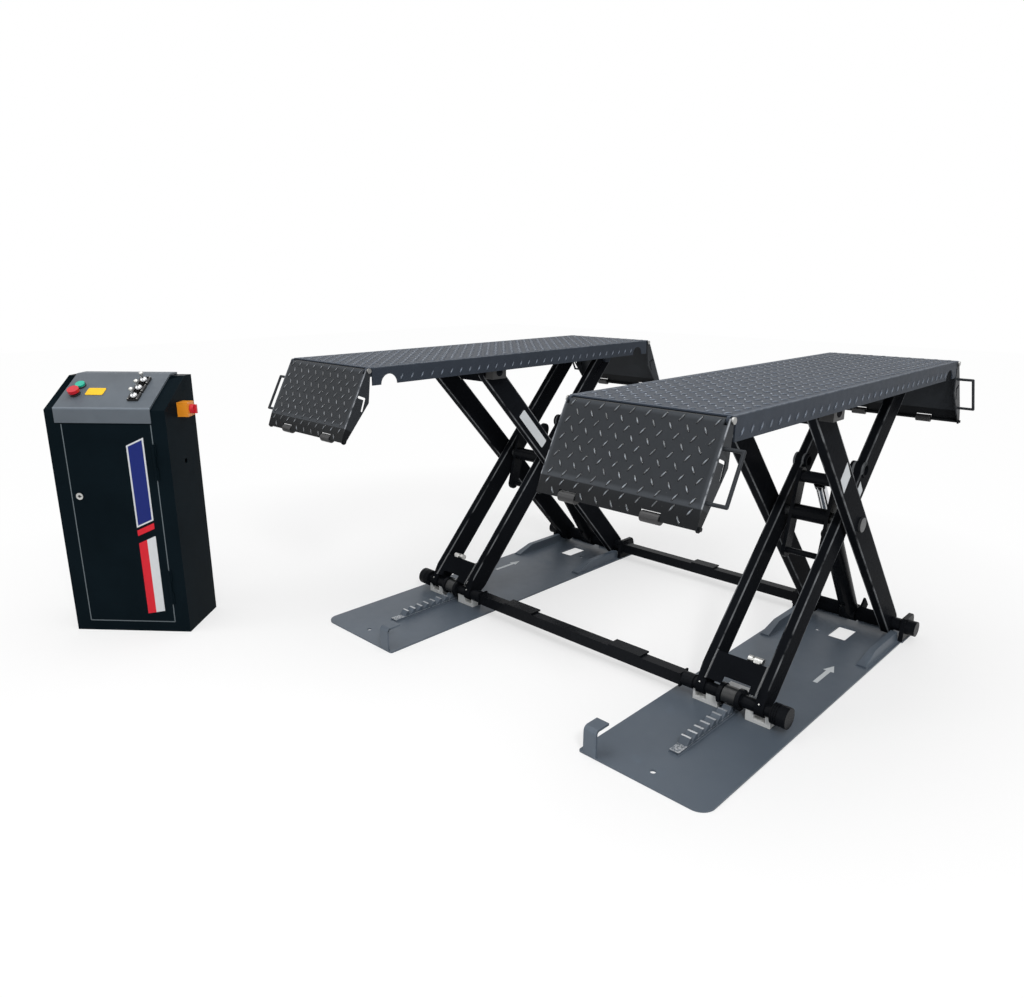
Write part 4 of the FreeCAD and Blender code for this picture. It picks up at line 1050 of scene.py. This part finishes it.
def slanted(left, right, low, high, foot=1.0):
    """A block of the band, whose top leans with the band, and whose foot leans by a share of that."""
    near, far = ((x - BAND_LEFT) * BAND_RISE / (BAND_RIGHT - BAND_LEFT) for x in (left, right))
    return (left, low + near * foot), (right, low + far * foot), (right, high + far), (left, high + near)


def door_bands():
    """Finish, outline and thickness of each block of the door's plain band."""
    low, high = HIGH_BLOCK
    return (("band_red", slanted(BAND_LEFT, BAND_SPLIT, *LOW_BLOCK, BAND_FOOT_SHARE), MARK_THICK),
            ("band_grey", slanted(BAND_SPLIT, BAND_RIGHT, *LOW_BLOCK, BAND_FOOT_SHARE), MARK_THICK),
            ("band_red", slanted(BAND_LEFT, BAND_RIGHT, *SMALL_BLOCK), MARK_THICK),
            ("band_grey", slanted(BAND_LEFT, BAND_RIGHT, low, high), MARK_THICK),
            ("band_blue", slanted(BAND_LEFT + BAND_RIM, BAND_RIGHT - BAND_RIM, low + BAND_RIM,
                                  high - BAND_RIM), BLUE_THICK))


def door_edge_highlights():
    """Name, left, right, foot and top of each pale line round the door, a painted highlight along its edge.
    """
    return (("left", DOOR_LEFT - EDGE_HIGHLIGHT_HALF, DOOR_LEFT + EDGE_HIGHLIGHT_HALF, DOOR_LOW, DOOR_HIGH),
            ("right", DOOR_RIGHT - EDGE_HIGHLIGHT_HALF, DOOR_RIGHT + EDGE_HIGHLIGHT_HALF, DOOR_LOW, DOOR_HIGH),
            ("foot", DOOR_LEFT, DOOR_RIGHT, DOOR_LOW - EDGE_HIGHLIGHT_HALF, DOOR_LOW + EDGE_HIGHLIGHT_HALF))


class LIFT_OT_door_details(bpy.types.Operator):
    """Add the plain band, the painted highlights along the seams and the keyway of the cabinet's door"""

    bl_idname = "lift.door_details"
    bl_label = "Door details"

    def execute(self, context):
        plane = (case_way(1, 0, 0), UP, case_way(0, -1, 0))
        for index, (finish, outline, thick) in enumerate(door_bands()):
            solid("door_band_%d" % index, outline, CASE_AT, plane, thick, finish, "cabinet_door_body")
        # Pale lines round the door as painted highlights along its edges
        for name, left, right, low, high in door_edge_highlights():
            outline = ((left, low), (right, low), (right, high), (left, high))
            solid("door_seam_" + name, outline, CASE_AT, plane, SEAM_THICK, "seam", "cabinet_door_body")
        # Painted shade: a near-black plate stands for the dark inside of the keyway
        keyway = round_outline(KEYWAY_WIDE, KEYWAY_WIDE, KEYWAY_CORNER)
        solid("lock_keyway", keyway, CASE_AT + case_way(*LOCK_AT), plane, SEAM_THICK, "keyway_shade",
              "cabinet_lock_body")
        return {"FINISHED"}


class LIFT_OT_panel_details(bpy.types.Operator):
    """Add the blank plate, the screws and the valves' domes of the hood's panel"""

    bl_idname = "lift.panel_details"
    bl_label = "Panel details"

    def execute(self, context):
        across, rise, out = panel_ways()
        panel = panel_corner()
        turn = frame_of(across, out)
        solid("panel_blank_plate", round_outline(PANEL_BLANK_WIDE, PANEL_BLANK_HIGH, PANEL_BLANK_CORNER),
              panel + across * PANEL_BLANK_X + rise * PANEL_BLANK_UP, (across, rise, out), PANEL_BLANK_THICK,
              "plate_yellow", "root")
        centres = {valve: panel + across * VALVE_X + rise * along for valve, along in VALVES}
        screws = [(centre + across * x + rise * y + out * SCREW_LIFT, turn) for centre in centres.values()
                  for x in (-SCREW_REACH, SCREW_REACH) for y in (-SCREW_REACH, SCREW_REACH)]
        studs("panel_screws", "root", "bright_steel", screws, SCREW_WIDE, SCREW_WIDE,
              SCREW_HIGH, sides=12, drum=True)
        for valve, centre in centres.items():
            dome = [(centre + out * DOME_LIFT, turn)]
            studs("valve_dome_" + valve, "root", "chrome_rod", dome, DOME_WIDE, DOME_WIDE,
                  DOME_HIGH, sides=24, rings=12)
        return {"FINISHED"}


def seen_rays(tree):
    """1 for rays from the camera, in reflections and through glass, 0 for rays that light the object."""
    rays = add_node(tree, "ShaderNodeLightPath", {}, {}).outputs
    seen = rays["Is Camera Ray"]
    for kind in ("Is Glossy Ray", "Is Transmission Ray"):
        seen = add_node(tree, "ShaderNodeMath", {"operation": "MAXIMUM"}, {0: seen, 1: rays[kind]}).outputs[0]
    return seen


class LIFT_OT_stage(bpy.types.Operator):
    """Set the floor, the soft light and the camera at the photograph's angle"""

    bl_idname = "lift.stage"
    bl_label = "Stage"

    def execute(self, context):
        self.set_floor()
        self.set_sky(context.scene)
        self.set_lamps()
        self.set_camera(context.scene)
        context.scene.view_settings.view_transform = "Standard"
        return {"FINISHED"}

    def set_floor(self):
        mesh = bpy.data.meshes.new("floor")
        corners = [(x * FLOOR_HALF, FLOOR_MIDDLE_Y + y * FLOOR_HALF, FLOOR_Z)
                   for x, y in ((-1, -1), (1, -1), (1, 1), (-1, 1))]
        mesh.from_pydata(corners, [], [(0, 1, 2, 3)])
        paper = Finish("white floor")
        grain = paper.noise(2.0, 2.0)
        paper.set(colour=paper.blend(grain, (0.91, 0.91, 0.91), (0.93, 0.93, 0.93)), rough=0.9, specular=0.0)
        reach = paper.node("ShaderNodeVectorMath", {"operation": "DISTANCE"},
                           {0: paper.place, 1: (0.0, 0.0, 0.0)})
        far = Num(paper, reach.outputs["Value"]).between(*FLOOR_FADE)
        white = paper.node("ShaderNodeEmission", {}, {"Color": (1.0, 1.0, 1.0), "Strength": 1.0})
        share = Num(paper, seen_rays(paper.tree)) * (far * 0.40 + 0.58)
        both = paper.node("ShaderNodeMixShader", {}, {0: share, 1: paper.shader.outputs["BSDF"],
                                                      2: white.outputs["Emission"]})
        paper.feed(paper.tree.nodes["Material Output"].inputs["Surface"], both.outputs["Shader"])
        mesh.materials.append(paper.material)
        linked("floor", mesh)

    def set_sky(self, scene):
        world = bpy.data.worlds.new("studio")
        scene.world = world
        world.use_nodes = True
        tree = world.node_tree
        dim = tree.nodes["Background"]
        dim.inputs["Color"].default_value = (1, 1, 1, 1)
        dim.inputs["Strength"].default_value = SKY_STRENGTH
        bright = add_node(tree, "ShaderNodeBackground", {}, {"Color": (1, 1, 1, 1), "Strength": 1.0})
        both = add_node(tree, "ShaderNodeMixShader", {}, {0: seen_rays(tree), 1: dim.outputs["Background"],
                                                          2: bright.outputs["Background"]})
        tree.links.new(both.outputs["Shader"], tree.nodes["World Output"].inputs["Surface"])

    def set_lamps(self):
        for name, at, aim, wide, power in LAMPS:
            lamp = bpy.data.lights.new(name, "AREA")
            lamp.shape = "SQUARE"
            lamp.size = wide
            lamp.energy = power
            holder = linked(name, lamp)
            holder.location = at
            holder.rotation_euler = (Vector(aim) - Vector(at)).to_track_quat("-Z", "Y").to_euler()

    def set_camera(self, scene):
        lens = bpy.data.cameras.new("camera")
        lens.lens = LENS_LONG
        lens.sensor_width = SENSOR_WIDE
        camera = linked("camera", lens)
        camera.location = CAMERA_AT
        camera.rotation_euler = (math.pi / 2 - CAMERA_PITCH, 0, CAMERA_YAW)
        scene.camera = camera


class LIFT_PT_looks(bpy.types.Panel):
    """Sizes, colours and the steps of the looks"""

    bl_idname = "LIFT_PT_looks"
    bl_label = "Scissor Lift"
    bl_space_type = "VIEW_3D"
    bl_region_type = "UI"
    bl_category = "Scissor Lift"

    def draw(self, context):
        for group in (context.scene.lift_sizes, context.scene.lift_colours):
            box = self.layout.box()
            for name in group.__annotations__:
                box.prop(group, name)
        for step in STEPS:
            self.layout.operator(step.bl_idname)


STEPS = (LIFT_OT_paint_nodes, LIFT_OT_deck_tread, LIFT_OT_ramp_tread, LIFT_OT_base_marks, LIFT_OT_arm_details,
         LIFT_OT_door_details, LIFT_OT_panel_details, LIFT_OT_stage)
CLASSES = (LiftSizes, LiftColours, *STEPS, LIFT_PT_looks)


def register():
    for item in CLASSES:
        bpy.utils.register_class(item)
    bpy.types.Scene.lift_sizes = PointerProperty(type=LiftSizes)
    bpy.types.Scene.lift_colours = PointerProperty(type=LiftColours)


def unregister():
    del bpy.types.Scene.lift_colours
    del bpy.types.Scene.lift_sizes
    for item in reversed(CLASSES):
        bpy.utils.unregister_class(item)


def main():
    register()
    bpy.ops.lift.paint_nodes()
    bpy.ops.lift.deck_tread()
    bpy.ops.lift.ramp_tread()
    bpy.ops.lift.base_marks()
    bpy.ops.lift.arm_details()
    bpy.ops.lift.door_details()
    bpy.ops.lift.panel_details()
    bpy.ops.lift.stage()
    bpy.context.view_layer.update()


if __name__ == "__main__":
    main()
